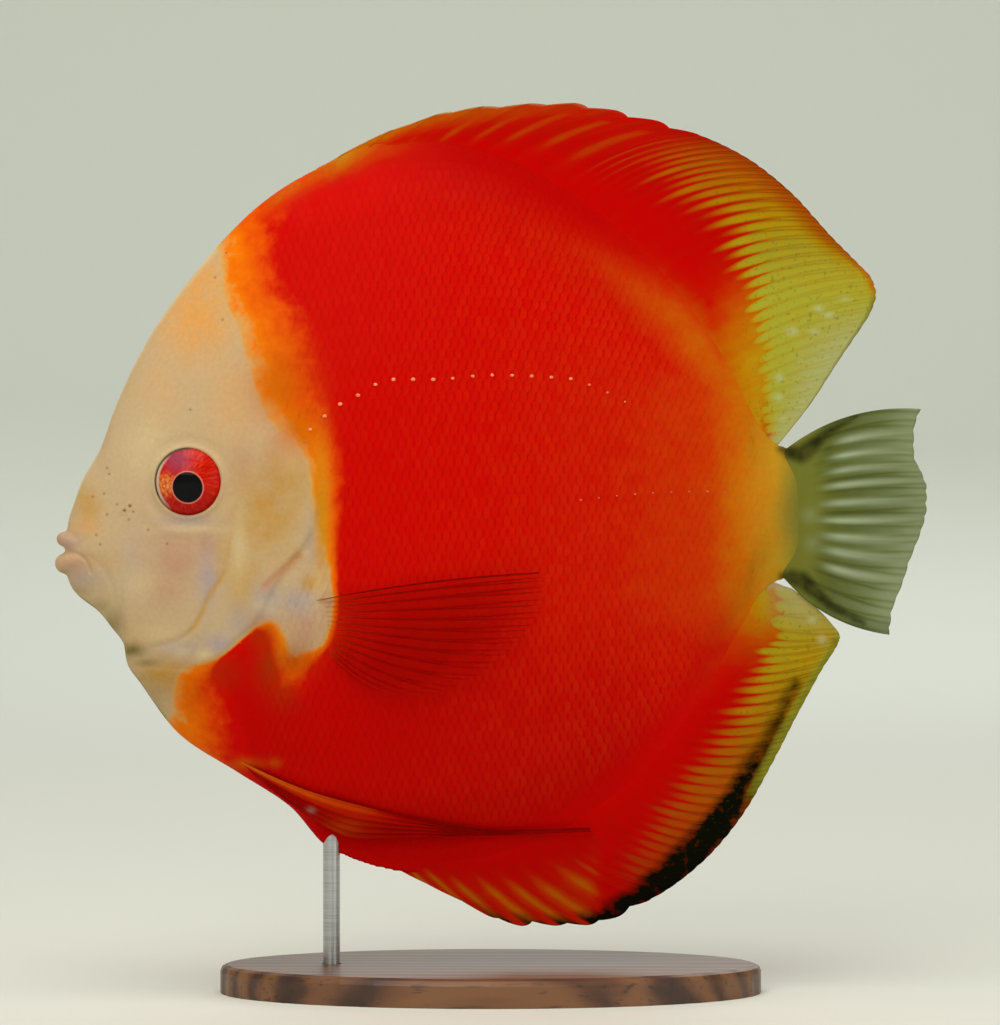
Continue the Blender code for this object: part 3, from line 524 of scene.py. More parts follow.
scaleSkin = paintSkin("wetScales", True)
bareSkin = paintSkin("wetSkin", False)
medianFinSkin = paintFin("redYellowFinSkin", {
    "streaks": 70.0, "freckle": 0.32, "ray": "#8A2A04", "pale": "#C3CDA0", "dark": "#0D0D05",
    "stops": [(0.0, "#CA0402"), (0.16, "#C81402"), (0.34, "#C43C03"), (0.55, "#C06C06"),
              (0.75, "#BC9A10"), (1.0, "#AEAC30")]})
tailFinSkin = paintFin("oliveFinSkin", {
    "streaks": 34.0, "freckle": 0.0, "ray": "#4E5420", "pale": "#AAB894", "dark": "#22240F",
    "stops": [(0.0, "#746E26"), (0.3, "#6C7634"), (1.0, "#86946A")]})
pairedFinSkin = paintFin("redFinSkin", {
    "streaks": 26.0, "freckle": 0.0, "ray": "#7C0201", "pale": "#B8A898", "dark": "#4A0502",
    "stops": [(0.0, "#B00601"), (0.3, "#BC1E02"), (0.6, "#CC4008"), (1.0, "#E0701C")]})


def paintEye():
    # Fish eye: a flat iris of red pigment with gold flecks under a wet, clear, glossy cornea
    look, tree = newLook("redIris")
    spot = addNode(tree, "CombineXYZ", {0: "across", 1: "upward"})
    fleck = addNode(tree, "TexNoise", {"Vector": spot, "Scale": 1.5, "Detail": 3.0})
    toPupil, toMiddle, toReflection, toGold = (
        addNode(tree, "VectorMath", {0: spot, 1: (across, upward, 0)}, out="Value", operation="DISTANCE")
        for across, upward in ((0.45, -1.0), (0.45, 0.0), (-1.6, 3.9), (-3.7, -0.6)))
    # radial fibres round the pupil
    turn = addNode(tree, "Math", {0: "upward", 1: "across"}, operation="ARCTAN2")
    radial = addNode(tree, "CombineXYZ", {0: turn, 1: toPupil})
    radial = addNode(tree, "VectorMath", {0: radial, 1: (7.0, 0.5, 1.0)}, operation="MULTIPLY")
    fibre = addNode(tree, "TexNoise", {"Vector": radial, "Scale": 1.5, "Detail": 3.0})
    colour = addNode(tree, "ValToRGB", {"Fac": fibre},
                     stops=[(0.3, "#A60A02"), (0.5, "#C81603"), (0.7, "#DE3208")])
    ring = addNode(tree, "Math", {0: toPupil, 1: 2.78}, operation="SUBTRACT")
    ring = addNode(tree, "Math", {0: ring}, operation="ABSOLUTE")
    edge = addNode(tree, "VectorMath", {0: spot}, out="Value", operation="LENGTH")
    frontUp = addNode(tree, "VectorMath", {0: spot, 1: (-0.86, 0.5, 0)}, out="Value",
                      operation="DOT_PRODUCT")
    # each amount by what it follows, the two ends of that in mm, and its value at both
    amounts = {}
    for name, follows, start, full, least, most in (
            ("low", "upward", -1.0, -6.0, 0.0, 0.8),
            # painted reflection: a violet sheen over the upper front of the iris
            ("violetReflection", toReflection, 3.4, 0.6, 0.0, 0.85),
            ("gold", toGold, 2.7, 0.5, 0.0, 1.3),
            ("flecks", fleck, 0.4, 0.66, 0.15, 1.0),
            ("ring", ring, 0.17, 0.05, 0.0, 0.75),
            ("pupil", toPupil, 2.72, 2.6, 0.0, 1.0),
            ("white", toMiddle, 5.3, 5.6, 0.0, 1.0),
            ("front", "across", -2.8, -4.8, 0.0, 0.8),
            # painted shadow of the socket's rim, on the eye's upper front side
            ("edge", edge, 5.45, 5.7, 0.0, 1.0),
            ("socketShadowSide", frontUp, 0.5, 3.5, 0.0, 1.0)):
        amounts[name] = addNode(tree, "MapRange", {"Value": follows, "From Min": start, "From Max": full,
                                                   "To Min": least, "To Max": most})
    for name, where in (("gold", "flecks"), ("white", "front"), ("edge", "socketShadowSide")):
        amounts[name] = addNode(tree, "Math", {0: amounts[name], 1: amounts[where]},
                                operation="MULTIPLY", use_clamp=True)
    # a painted violet reflection over the upper front of the iris, gold flecks at the front, a bright ring
    # round the pupil, the white of the eye as a crescent at the front edge, and a painted shadow of the
    # socket's rim beyond it
    for name, hue in (("low", "#9A0402"), ("violetReflection", "#94405A"), ("gold", "#E89A48"), ("ring", "#D88A78"),
                      ("pupil", "#040506"), ("white", "#CFC2AC"), ("edge", "#4A4436")):
        colour = addNode(tree, "Mix", {0: amounts[name], 6: colour, 7: hue}, out=2, data_type="RGBA")
    bump = addNode(tree, "Bump", {"Height": fibre, "Strength": 0.1, "Distance": 0.04 * mm})
    ball = addNode(tree, "BsdfPrincipled",
                   {"Base Color": colour, "Roughness": 0.35, "Normal": bump, "IOR": 1.38,
                    "Specular IOR Level": 0.08, "Coat Weight": 0.14, "Coat Roughness": 0.04})
    addNode(tree, "OutputMaterial", {"Surface": ball})
    return look


def paintWalnut():
    # Oiled walnut, turned and sanded: long brown grain with dark pores, a low satin shine
    look, tree = newLook("oiledWalnut")
    place = addNode(tree, "TexCoord", out="Object")
    long = addNode(tree, "VectorMath", {0: place, 1: (0.12, 1.0, 1.0)}, operation="MULTIPLY")
    flow = addNode(tree, "TexNoise", {"Vector": long, "Scale": 1 / (14.0 * mm), "Detail": 5.0,
                                      "Distortion": 0.6})
    rings = addNode(tree, "TexWave", {"Vector": long, "Scale": 1 / (16.0 * mm), "Distortion": 6.0,
                                      "Detail": 3.0, "Detail Scale": 1.4}, out="Fac", bands_direction="Y")
    grain = addNode(tree, "Math", {0: rings, 1: 0.5, 2: flow}, operation="MULTIPLY_ADD")
    colour = addNode(tree, "ValToRGB", {"Fac": grain},
                     stops=[(0.3, "#2E1A10"), (0.55, "#4A2C1A"), (0.75, "#6A4226"), (1.0, "#7C5230")])
    thin = addNode(tree, "VectorMath", {0: place, 1: (0.05, 1.0, 1.0)}, operation="MULTIPLY")
    pores = addNode(tree, "TexNoise", {"Vector": thin, "Scale": 1 / (0.7 * mm), "Detail": 2.0})
    pores = addNode(tree, "MapRange", {"Value": pores, "From Min": 0.6, "From Max": 0.7, "To Max": 0.6})
    colour = addNode(tree, "Mix", {0: pores, 6: colour, 7: "#20120A"}, out=2, data_type="RGBA")
    shine = addNode(tree, "MapRange", {"Value": flow, "To Min": 0.38, "To Max": 0.52})
    bump = addNode(tree, "Bump", {"Height": pores, "Strength": 0.4, "Distance": -0.05 * mm})
    wood = addNode(tree, "BsdfPrincipled", {"Base Color": colour, "Roughness": shine, "Normal": bump,
                                            "Coat Weight": 0.15, "Coat Roughness": 0.3})
    addNode(tree, "OutputMaterial", {"Surface": wood})
    return look


def paintSteel():
    # Brushed stainless steel: fine rings left by the belt, so the highlight is drawn out
    look, tree = newLook("brushedSteel")
    place = addNode(tree, "TexCoord", out="Object")
    rings = addNode(tree, "VectorMath", {0: place, 1: (0.02, 0.02, 1.0)}, operation="MULTIPLY")
    lines = addNode(tree, "TexNoise", {"Vector": rings, "Scale": 1 / (0.25 * mm), "Detail": 3.0})
    shade = addNode(tree, "ValToRGB", {"Fac": lines}, stops=[(0.3, "#A9ABAD"), (0.7, "#C9CBCC")])
    shine = addNode(tree, "MapRange", {"Value": lines, "To Min": 0.24, "To Max": 0.42})
    bump = addNode(tree, "Bump", {"Height": lines, "Strength": 0.2, "Distance": 0.02 * mm})
    steel = addNode(tree, "BsdfPrincipled", {"Base Color": shade, "Metallic": 1.0, "Roughness": shine,
                                             "Normal": bump})
    addNode(tree, "OutputMaterial", {"Surface": steel})
    return look


def paintPore(name, low, high):
    # The lateral line's pores: small pearly lumps of clear flesh
    look, tree = newLook(name)
    place = addNode(tree, "TexCoord", out="Object")
    cloud = addNode(tree, "TexNoise", {"Vector": place, "Scale": 1 / (0.5 * mm), "Detail": 1.0})
    shade = addNode(tree, "ValToRGB", {"Fac": cloud}, stops=[(0.3, low), (0.7, high)])
    pearl = addNode(tree, "BsdfPrincipled", {"Base Color": shade, "Roughness": 0.3, "IOR": 1.4,
                                             "Coat Weight": 0.4, "Coat Roughness": 0.15})
    addNode(tree, "OutputMaterial", {"Surface": pearl})
    return look


# Where the body's colours lie. The pale face ends at paleEdge, and the orange shoulder at redEdge.
markings = {
    "paleEdge": [
        (-50.9, 125.2), (-47.8, 118.6), (-47.8, 114.5), (-46.8, 111.0), (-44.7, 106.9), (-43.6, 102.1),
        (-42.0, 97.3), (-40.7, 93.2), (-38.4, 89.7), (-35.4, 87.5), (-33.5, 85.2), (-32.0, 80.8),
        (-31.7, 76.3), (-30.6, 71.9), (-29.6, 67.1), (-28.5, 62.1), (-28.0, 57.7), (-28.7, 53.6),
        (-30.4, 50.6), (-33.1, 49.2), (-35.4, 48.6), (-36.2, 50.5), (-37.4, 53.4), (-38.8, 54.9),
        (-41.0, 54.2), (-43.6, 52.2), (-46.3, 49.9), (-49.1, 47.9), (-52.6, 47.1), (-54.8, 45.8),
        (-56.0, 42.6), (-56.7, 38.7), (-58.9, 30.0)],
    "redEdge": [
        (-22.0, 141.0), (-27.0, 136.6), (-29.6, 132.0), (-34.6, 128.4), (-37.2, 124.4), (-37.6, 119.8),
        (-36.1, 114.5), (-32.6, 110.1), (-30.3, 105.6), (-29.9, 100.3), (-29.0, 95.0), (-27.4, 89.7),
        (-26.0, 84.3), (-25.8, 79.0), (-26.4, 73.7), (-26.9, 69.2), (-27.1, 62.0), (-27.1, 55.9),
        (-28.0, 51.5), (-30.1, 48.6), (-31.9, 45.8), (-34.0, 42.6), (-37.2, 42.4), (-38.6, 46.2),
        (-40.0, 50.6), (-41.2, 53.4), (-43.5, 51.9), (-46.1, 49.6), (-48.6, 47.4), (-49.6, 45.4),
        (-47.6, 41.7), (-45.8, 37.3), (-43.0, 26.0)],
    "headSide": [(-90.0, 26.0), (-90.0, 140.3)],
    "backBand": [
        (-2.0, 126.1, 1.4), (12.2, 121.6, 2.1), (19.3, 118.6, 2.7), (26.4, 113.3, 3.6), (33.5, 107.4, 4.3),
        (40.6, 98.5, 4.3), (47.1, 86.5, 3.2)],
    "bellyBand": [
        (48.6, 63.6, 2.5), (44.1, 56.8, 2.5), (40.6, 49.7, 2.1), (35.2, 42.6, 1.8), (29.9, 35.5, 1.2)],
}
# Washes of colour on the head: middle, reach along and up, and strength.
faceTints = {
    "pinkTint": [
        (-56.2, 65.7, 5.5, 6.5, 0.5), (-58.0, 60.4, 4.5, 4.0, 0.4), (-50.9, 68.4, 2.5, 5.5, 0.4),
        (-44.3, 82.6, 2.2, 5.0, 0.4), (-39.3, 79.8, 3.0, 5.0, 0.3), (-75.8, 69.4, 2.6, 1.8, 0.5),
        (-74.4, 64.6, 3.4, 2.6, 0.4), (-33.1, 53.8, 3.2, 3.4, 0.5), (-61.0, 77.0, 4.0, 6.0, 0.15)],
    "lilacTint": [
        (-50.4, 62.5, 1.8, 5.5, 0.6), (-74.6, 69.0, 2.0, 1.2, 0.35), (-54.0, 72.6, 5.0, 1.1, 0.5),
        (-55.3, 49.9, 4.2, 1.5, 0.6), (-48.4, 50.8, 3.6, 1.8, 0.7), (-44.6, 55.2, 2.2, 3.2, 0.6),
        (-40.2, 58.4, 3.0, 3.2, 0.7), (-31.6, 70.4, 1.3, 4.8, 0.7), (-34.0, 58.4, 3.0, 2.6, 0.7),
        (-72.0, 62.6, 3.4, 2.0, 0.4), (-64.0, 66.0, 2.2, 5.0, 0.2)],
    "ochreTint": [
        (-40.2, 73.8, 6.0, 8.0, 0.75), (-36.2, 73.6, 3.0, 4.5, 0.6), (-42.2, 64.5, 2.6, 4.0, 0.4),
        (-36.0, 80.0, 5.0, 6.5, 0.7), (-44.4, 62.0, 2.6, 6.0, 0.55), (-32.2, 61.6, 1.8, 1.4, 0.8),
        (-58.5, 45.4, 4.2, 3.0, 0.75), (-71.6, 75.3, 2.2, 3.4, 0.65), (-30.0, 75.0, 2.2, 9.0, 0.7),
        (-69.5, 65.7, 3.0, 1.8, 0.25), (-47.2, 66.0, 1.8, 5.0, 0.45), (-62.0, 52.0, 6.0, 3.0, 0.25)],
    "peachTint": [
        (-52.4, 108.5, 7.0, 8.0, 0.75), (-50.5, 113.0, 5.0, 7.0, 0.7), (-72.0, 71.6, 2.6, 2.0, 0.3),
        (-46.4, 95.0, 5.0, 9.0, 0.3), (-58.5, 97.0, 5.0, 8.0, 0.2)],
    # olive wash of the throat with painted shade: the dark edge under the throat and the shadow below the
    # lower lip
    "oliveAndShade": [
        (-67.2, 54.4, 1.8, 2.4, 0.6), (-64.0, 49.6, 2.6, 1.3, 0.85), (-61.0, 47.4, 2.4, 0.8, 0.6),
        (-69.4, 57.4, 1.8, 1.2, 0.35), (-60.4, 42.0, 4.5, 4.0, 0.3), (-76.4, 63.2, 1.0, 0.8, 0.6),
        (-73.4, 60.0, 2.0, 1.2, 0.3)],
    "umberTint": [
        (-39.6, 46.6, 2.6, 4.6, 0.75), (-37.0, 42.0, 3.0, 3.0, 0.5), (-40.4, 52.0, 2.6, 3.4, 0.6),
        (-35.4, 48.0, 4.0, 3.0, 0.65), (-53.6, 42.6, 3.6, 5.5, 0.4), (-48.0, 45.6, 4.0, 3.0, 0.45)],
    "duskAndHighlight": [
        # the last two patches, at the root of the pelvic fin, are a painted highlight
        (-38.0, 96.5, 5.0, 7.0, 0.7), (-35.0, 88.5, 4.0, 5.0, 0.7), (-38.5, 29.6, 1.1, 0.8, 0.8),
        (-43.2, 29.4, 3.2, 1.0, 0.7)],
    "amberTint": [
        (-30.1, 74.0, 1.5, 12.0, 0.85), (-37.2, 50.6, 1.1, 2.6, 0.3), (47.4, 76.0, 4.2, 8.0, 0.5)],
    # cream wash with painted highlights: light spots on the face and cheeks
    "creamAndHighlight": [
        (-61.0, 85.0, 4.0, 5.5, 0.4), (-62.5, 61.3, 3.0, 2.5, 0.35), (-60.0, 52.6, 4.0, 1.6, 0.3),
        (-30.6, 62.0, 1.3, 3.5, 0.4), (-51.0, 48.8, 1.7, 1.1, 0.6), (-55.2, 49.4, 1.7, 1.0, 0.5),
        (-44.8, 67.0, 1.3, 6.5, 0.4), (-35.5, 84.5, 2.2, 3.6, 0.4), (-40.2, 57.4, 1.8, 1.4, 0.45),
        (-53.0, 71.2, 6.0, 0.7, 0.4), (-31.4, 71.6, 0.8, 3.4, 0.4)],
}

# The dark roots of the tail fin, shared by skin and fin: x, z and half width.
tailDarkness = {
    "top": [
        (51.4, 85.4, 0.5), (53.0, 84.8, 1.1), (55.0, 84.4, 1.4), (57.2, 86.2, 1.2), (60.0, 88.4, 0.8),
        (64.7, 91.2, 0.4)],
    "low": [
        (51.6, 62.8, 0.5), (53.4, 62.6, 1.2), (55.2, 62.0, 1.5), (57.5, 60.0, 1.2), (60.4, 57.4, 0.9),
        (66.0, 54.4, 0.5)],
}


def tailRootDark(x, z):
    nearest = np.minimum(ribbon(tailDarkness["top"], x, z), ribbon(tailDarkness["low"], x, z))
    return 0.85 * ease(1.0, -0.8, nearest)


def flankWarmth(x, z):
    # how far the red has turned to orange and ochre, on the flank and on the feet of the fins
    rear = np.interp(x, [-2.0, 15.0, 28.0, 37.0, 42.0, 46.0, 50.0, 56.0],
                     [0.0, 0.12, 0.24, 0.32, 0.5, 0.64, 0.8, 0.92])
    rear = rear * np.where(z > 78.0, ease(36.0, 14.0, (z - 78.0) * np.interp(x, [30.0, 46.0], [1.0, 0.55])),
                           ease(38.0, 18.0, 78.0 - z))
    backBand = ease(6.0, -4.0, ribbon(markings["backBand"], x, z)) * ease(-6.0, 30.0, x)
    backBand = backBand * np.interp(x, [20.0, 38.0], [0.38, 0.48])
    bellyBand = 0.28 * ease(3.5, -2.0, ribbon(markings["bellyBand"], x, z)) * ease(30.0, 44.0, x)
    nape = ease(-6.0, 0.8, z - crest(x)) * np.interp(x, [-45.0, -33.0, -26.0, -20.0, -12.0, -4.0],
                                                     [0.85, 0.8, 0.7, 0.42, 0.2, 0.0])
    return np.maximum.reduce([rear, backBand, bellyBand, nape]), backBand, bellyBand


def bodyColours(x, z, thin=None):
    # everything that the skin's finish reads, for points of the body's side
    corners = markings["headSide"]
    pale = beyondLine(traced(markings["paleEdge"], 90), corners, x, z)
    red = beyondLine(traced(markings["redEdge"], 80), corners, x, z)
    between = np.maximum(pale, 0) / (np.maximum(pale, 0) + np.maximum(-red, 0) + 1e-3)
    shoulder = between + np.minimum(pale, 0) / 2.2 + np.maximum(red, 0) / 2.0
    warmth, backBand, bellyBand = flankWarmth(x, z)
    fields = {"shoulder": np.clip(shoulder, -1.5, 2.5), "warmth": warmth}
    for tint, rows in faceTints.items():
        fields[tint] = patches(rows, x, z)
    cheek = distanceTo(traced(headLines["cheekEdge"], 24), x, z)
    fold = distanceTo(traced(headLines["gillFold"], 8), x, z)
    cheekLine = 0.6 * hill(cheek, 0.55) * ease(74.0, 68.0, z) * ease(51.0, 54.0, z)
    thinness = np.zeros(x.shape) if thin is None else ease(2.4, 0.6, thin)
    for tint, more in (("ochreTint", cheekLine), ("duskAndHighlight", 0.36 * hill(fold, 0.8)),
                       # painted highlight: cream along the thin upper rims of the snout and forehead
                       ("creamAndHighlight", 0.8 * thinness * ease(70.0, 76.0, z)),
                       # painted shade: olive along the thin edges under the snout and throat
                       ("oliveAndShade", 0.8 * thinness * ease(62.0, 58.0, z))):
        fields[tint] = np.maximum(fields[tint], more)
    # redder and darker towards the foot of the back fin, and darker in the belly, where the darkening is
    # painted shade
    towardsBack = 0.72 * ease(-14.0, 2.0, z - back(x)) * (1 - 2 * backBand)
    towardsBack = towardsBack * ease(-24.0, -4.0, x) * ease(38.0, 24.0, x)
    bellyShade = 0.4 * ease(62.0, 40.0, z) * ease(34.0, 20.0, x) * (1 - 2 * bellyBand)
    deep = np.maximum(towardsBack, bellyShade) * ease(1.3, 2.0, shoulder)
    fields["deepRedAndShade"] = np.clip(deep * ease(54.0, 44.0, x), 0, 1)
    fields["tailTint"] = ease(49.6, 56.0, x + 1.4 * hill(z - 74.0, 6.0) - 0.6)
    fields["tailDark"] = tailRootDark(x, z)
    fields["pore"] = np.zeros(x.shape)
    for spots, depth, reach in ((headPores, 0.6, 0.19), (nostrilSpots, 0.55, 0.22)):
        for px, pz in spots:
            fields["pore"] = np.maximum(fields["pore"], depth * hill(np.hypot(x - px, z - pz), reach))
    return fields


print("stage: skin")
# One skin from the lips to the foot of the tail fin, just under the coat of scales.
skinPlan = {"voxel": 0.34, "columns": 300, "rows": 170, "coat": 0.12, "thinnest": 0.32,
            "smoothing": 3, "tailEnd": 56.4}
lips = {"upper": {"front": (-76.0, 69.4), "thick": 1.3}, "lower": {"front": (-75.7, 65.05), "thick": 1.85},
        "cornerX": -72.2, "halfWidth": 3.9, "mouthZ": 67.3}


def lipRoll(front, thick):
    # a soft roll round the front of the mouth, thinner and nearer the other lip at its corners
    steps, sides = 28, 16
    turn = np.linspace(-math.pi / 2, math.pi / 2, steps)
    bow = 1 - np.cos(turn)
    middle = np.stack([front[0] + (lips["cornerX"] - front[0]) * bow, lips["halfWidth"] * np.sin(turn),
                       lerp(front[1], lips["mouthZ"], 0.45 * bow)], -1)
    radius = thick * (0.55 + 0.45 * np.cos(turn))
    way = np.gradient(middle, axis=0)
    way /= np.linalg.norm(way, axis=1)[:, None]
    side = np.cross(way, (0, 0, 1.0))
    side /= np.linalg.norm(side, axis=1)[:, None]
    up = np.cross(side, way)
    angle = np.linspace(0, 2 * math.pi, sides, endpoint=False)
    ring = (np.cos(angle)[None, :, None] * side[:, None] + np.sin(angle)[None, :, None] * up[:, None])
    points = (middle[:, None] + radius[:, None, None] * ring).reshape(-1, 3)
    at = np.arange(steps * sides).reshape(steps, sides)
    over = np.roll(at, -1, axis=1)
    faces = np.stack([at[:-1], over[:-1], over[1:], at[1:]], -1).reshape(-1, 4)
    ends = []
    for row, flip in ((0, -1), (-1, 1)):
        loop = at[row][::flip]
        half = sides // 2
        for i in range(half - 1):
            ends.append([loop[i], loop[i + 1], loop[sides - 2 - i], loop[sides - 1 - i]])
    return points, np.concatenate([faces, np.array(ends)])


def bodyHull():
    # columns run from the underside to the ridge of the back, set closer near both edges
    u = np.linspace(0, 1, skinPlan["columns"])[None, :]
    v = np.linspace(0, 1, skinPlan["rows"])[:, None]
    v = lerp(v, 0.5 - 0.5 * np.cos(math.pi * v), 0.8)
    tailEnd = skinPlan["tailEnd"]
    (topX, topZ), (lowX, lowZ) = (
        routeLine([p for p in profile[edge] if p[0] < tailEnd] + [(tailEnd, endZ)])(u)
        for edge, endZ in (("sheathTop", 83.6), ("sheathLow", 64.4)))
    x, z = lerp(lowX, topX, v), lerp(lowZ, topZ, v)
    half = np.maximum(fleshWidth(x, z), skinPlan["thinnest"])
    return closedSheet(x, z, -half, half)[:2]


def evaluated(source):
    bpy.context.view_layer.update()
    graph = bpy.context.evaluated_depsgraph_get()
    return bpy.data.meshes.new_from_object(source.evaluated_get(graph))


def numbersOf(items, key, kind=np.int32):
    # one property of all of a mesh's points, edges, corners or faces
    width = {"co": 3, "vertices": 2}.get(key, 1)
    flat = np.empty(len(items) * width, kind)
    items.foreach_get(key, flat)
    return flat.reshape(-1, width) if width > 1 else flat


def meshPoints(mesh):
    places = numbersOf(mesh.vertices, "co", np.float32).astype(float)
    return places / mm - np.array([fishPlace["shiftX"], 0.0, fishPlace["lift"]])


def relaxed(mesh, points, times, keep):
    # moves each point towards the middle of its neighbours, except where keep is 1
    a, b = numbersOf(mesh.edges, "vertices").T
    count = np.bincount(a, minlength=len(points)) + np.bincount(b, minlength=len(points))
    for _ in range(times):
        total = np.stack([np.bincount(a, points[b, k], len(points))
                          + np.bincount(b, points[a, k], len(points)) for k in range(3)], -1)
        points = lerp(total / np.maximum(count, 1)[:, None], points, keep[:, None])
    return points


def onFlesh(points):
    # sets points of the sides exactly on the modelled flesh, and leaves lips and ridges as they are
    x, z = points[:, 0], points[:, 2]
    flesh = fleshWidth(x, z)
    coat = skinPlan["coat"] * ease(-46.0, -34.0, x)
    side = np.sign(points[:, 1])
    sure = ease(0.8, 1.7, flesh) * ease(-73.6, -70.5, x)
    y = side * (flesh - coat)
    return np.stack([x, lerp(points[:, 1], y, sure), z], -1), side, ease(0.5, 1.4, flesh)


def makeSkin():
    parts = [bodyHull(), lipRoll(**lips["upper"]), lipRoll(**lips["lower"])]
    starts = np.cumsum([0] + [len(points) for points, faces in parts])
    raw = addMesh("rawSkin", np.concatenate([points for points, faces in parts]),
                  np.concatenate([faces + start for (points, faces), start in zip(parts, starts)]), bareSkin)
    remesh = raw.modifiers.new("voxels", "REMESH")
    remesh.mode = "VOXEL"
    remesh.voxel_size = skinPlan["voxel"] * mm
    mesh = evaluated(raw)
    bpy.data.objects.remove(raw)
    points = relaxed(mesh, meshPoints(mesh), skinPlan["smoothing"], np.zeros(len(mesh.vertices)))
    setPoints(mesh, points)
    # finer faces where the head has small forms
    bm = bmesh.new()
    bm.from_mesh(mesh)
    bm.edges.ensure_lookup_table()
    x, _, z = points[numbersOf(mesh.edges, "vertices")].mean(1).T
    close = (x < -69.5) | (np.abs(np.hypot(x - eye["x"], z - eye["z"]) - eye["radius"]) < 1.8)
    for px, pz in headPores + nostrilSpots:
        close |= np.hypot(x - px, z - pz) < 1.1
    for line, count in (("gillEdge", 30), ("cheekEdge", 20)):
        close |= distanceTo(traced(headLines[line], count), x, z) < 1.6
    chosen = [bm.edges[i] for i in np.nonzero(close & (x < -27.0))[0]]
    bmesh.ops.subdivide_edges(bm, edges=chosen, cuts=1, use_grid_fill=True)
    bmesh.ops.triangulate(bm, faces=[f for f in bm.faces if len(f.verts) > 4])
    fine = bpy.data.meshes.new("skin")
    bm.to_mesh(fine)
    bm.free()
    bpy.data.meshes.remove(mesh)
    points, side, sure = onFlesh(meshPoints(fine))
    x, z = points[:, 0], points[:, 2]
    points[:, 1] += side * sure * headRelief(*measured(points)) * ease(-24.0, -28.0, x)
    # the throat's steep edge is evened out
    throat = ease(-58.5, -61.5, x) * ease(60.0, 57.0, z) * ease(-72.0, -69.0, x)
    points[:, 1] = relaxed(fine, points, 12, 1 - throat)[:, 1]
    setPoints(fine, points)
    setFields(fine, bodyColours(*measured(points), np.where(x < -40.0, fleshWidth(x, z), 9.0)))
    fine.materials.clear()
    fine.materials.append(bareSkin)
    fine.shade_smooth()
    # the unwrap: each face in the half of the side that it lies on
    loops = numbersOf(fine.loops, "vertex_index")
    starts = numbersOf(fine.polygons, "loop_start")
    faceOf = np.searchsorted(starts, np.arange(len(loops)), side="right") - 1
    total = np.bincount(faceOf, points[loops, 1])
    place = bodyPlace(*points[loops].T)
    place[:, 1] += np.where(total[faceOf] > 0, 0.5, 0.0)
    setMap(fine, place)
    dressUp(linked("skin", fine),
            ["head", "lower_jaw", "gill_cover_left", "gill_cover_right", "torso", "tail_stalk"])


makeSkin()

print("stage: scales")
# The scales stand in rows along the body, staggered from row to row: what shows of each is
# taller than long. Their fronts lie under the skin and their rear edges stand just proud.
scalePlan = {
    "firstX": -34.0, "columns": (-22, 66), "rows": (-42, 43), "pitch": 1.42, "rowGap": 1.86,
    "halfHeight": 1.75, "length": 2.3, "recede": 0.75, "thick": 0.05, "root": -0.16, "rise": 0.08,
    "patch": 0.003, "rowsOfPoints": 4, "pointsAcross": 5,
    # no scales in front of these lines, each closed round the head by its corners, and the room
    # that they keep from it
    "edges": [
        (traced(headLines["gillEdge"], 40), [(-60.0, 92.0), (-90.0, 92.0), (-90.0, 47.9)], 2.2),
        ([(-36.7, 89.7), (-41.0, 97.0), (-45.0, 108.0), (-49.0, 119.0), (-52.0, 126.0)],
         [(-90.0, 126.0), (-90.0, 89.7)], 0.6),
        ([(-64.0, 46.0), (-56.0, 34.0)], [(-90.0, 34.0), (-90.0, 46.0)], 1.6)],
    # where the scales' painted highlight is dimmer
    "dimmerGlint": [(-24.0, 38.0, 15.0, 13.0, 0.9)],
}


def rowHeight(level, x):
    # the height of a row of scales: rows draw together a little where the body narrows
    middle = middleHeight(x)
    reach = np.where(level > 0, crest(x) - middle, middle - keel(x))
    return middle + level * (0.62 + 0.38 * reach / 66.0)


def scalePlaces():
    column = np.arange(*scalePlan["columns"])[None, :]
    row = np.arange(*scalePlan["rows"])[:, None]
    stagger = np.where(row % 2 == 0, 0.5, 0.0)
    x = scalePlan["firstX"] + (column + stagger) * scalePlan["pitch"]
    x = x + chance.normal(0, 0.04, x.shape)
    level = row * scalePlan["rowGap"] + chance.normal(0, 0.05, x.shape)
    z = rowHeight(level, x)
    slope = rowHeight(level, x + 0.5) - rowHeight(level, x - 0.5)
    x, z, lie, flesh = x.ravel(), z.ravel(), np.arctan(slope).ravel(), fleshWidth(x, z).ravel()
    good = (z < sheathTop(x) - 2.2) & (z > sheathLow(x) + 2.2) & (x < 53.5) & (flesh > 0.85)
    for dx, dz in ((1.3, 1.9), (-1.6, 1.9), (1.3, -1.9), (-1.6, -1.9)):
        good &= fleshWidth(x + dx, z + dz) > 0.6
    for line, corners, room in scalePlan["edges"]:
        good &= beyondLine(line, corners, x, z) > room
    return x[good], z[good], lie[good], flesh[good]


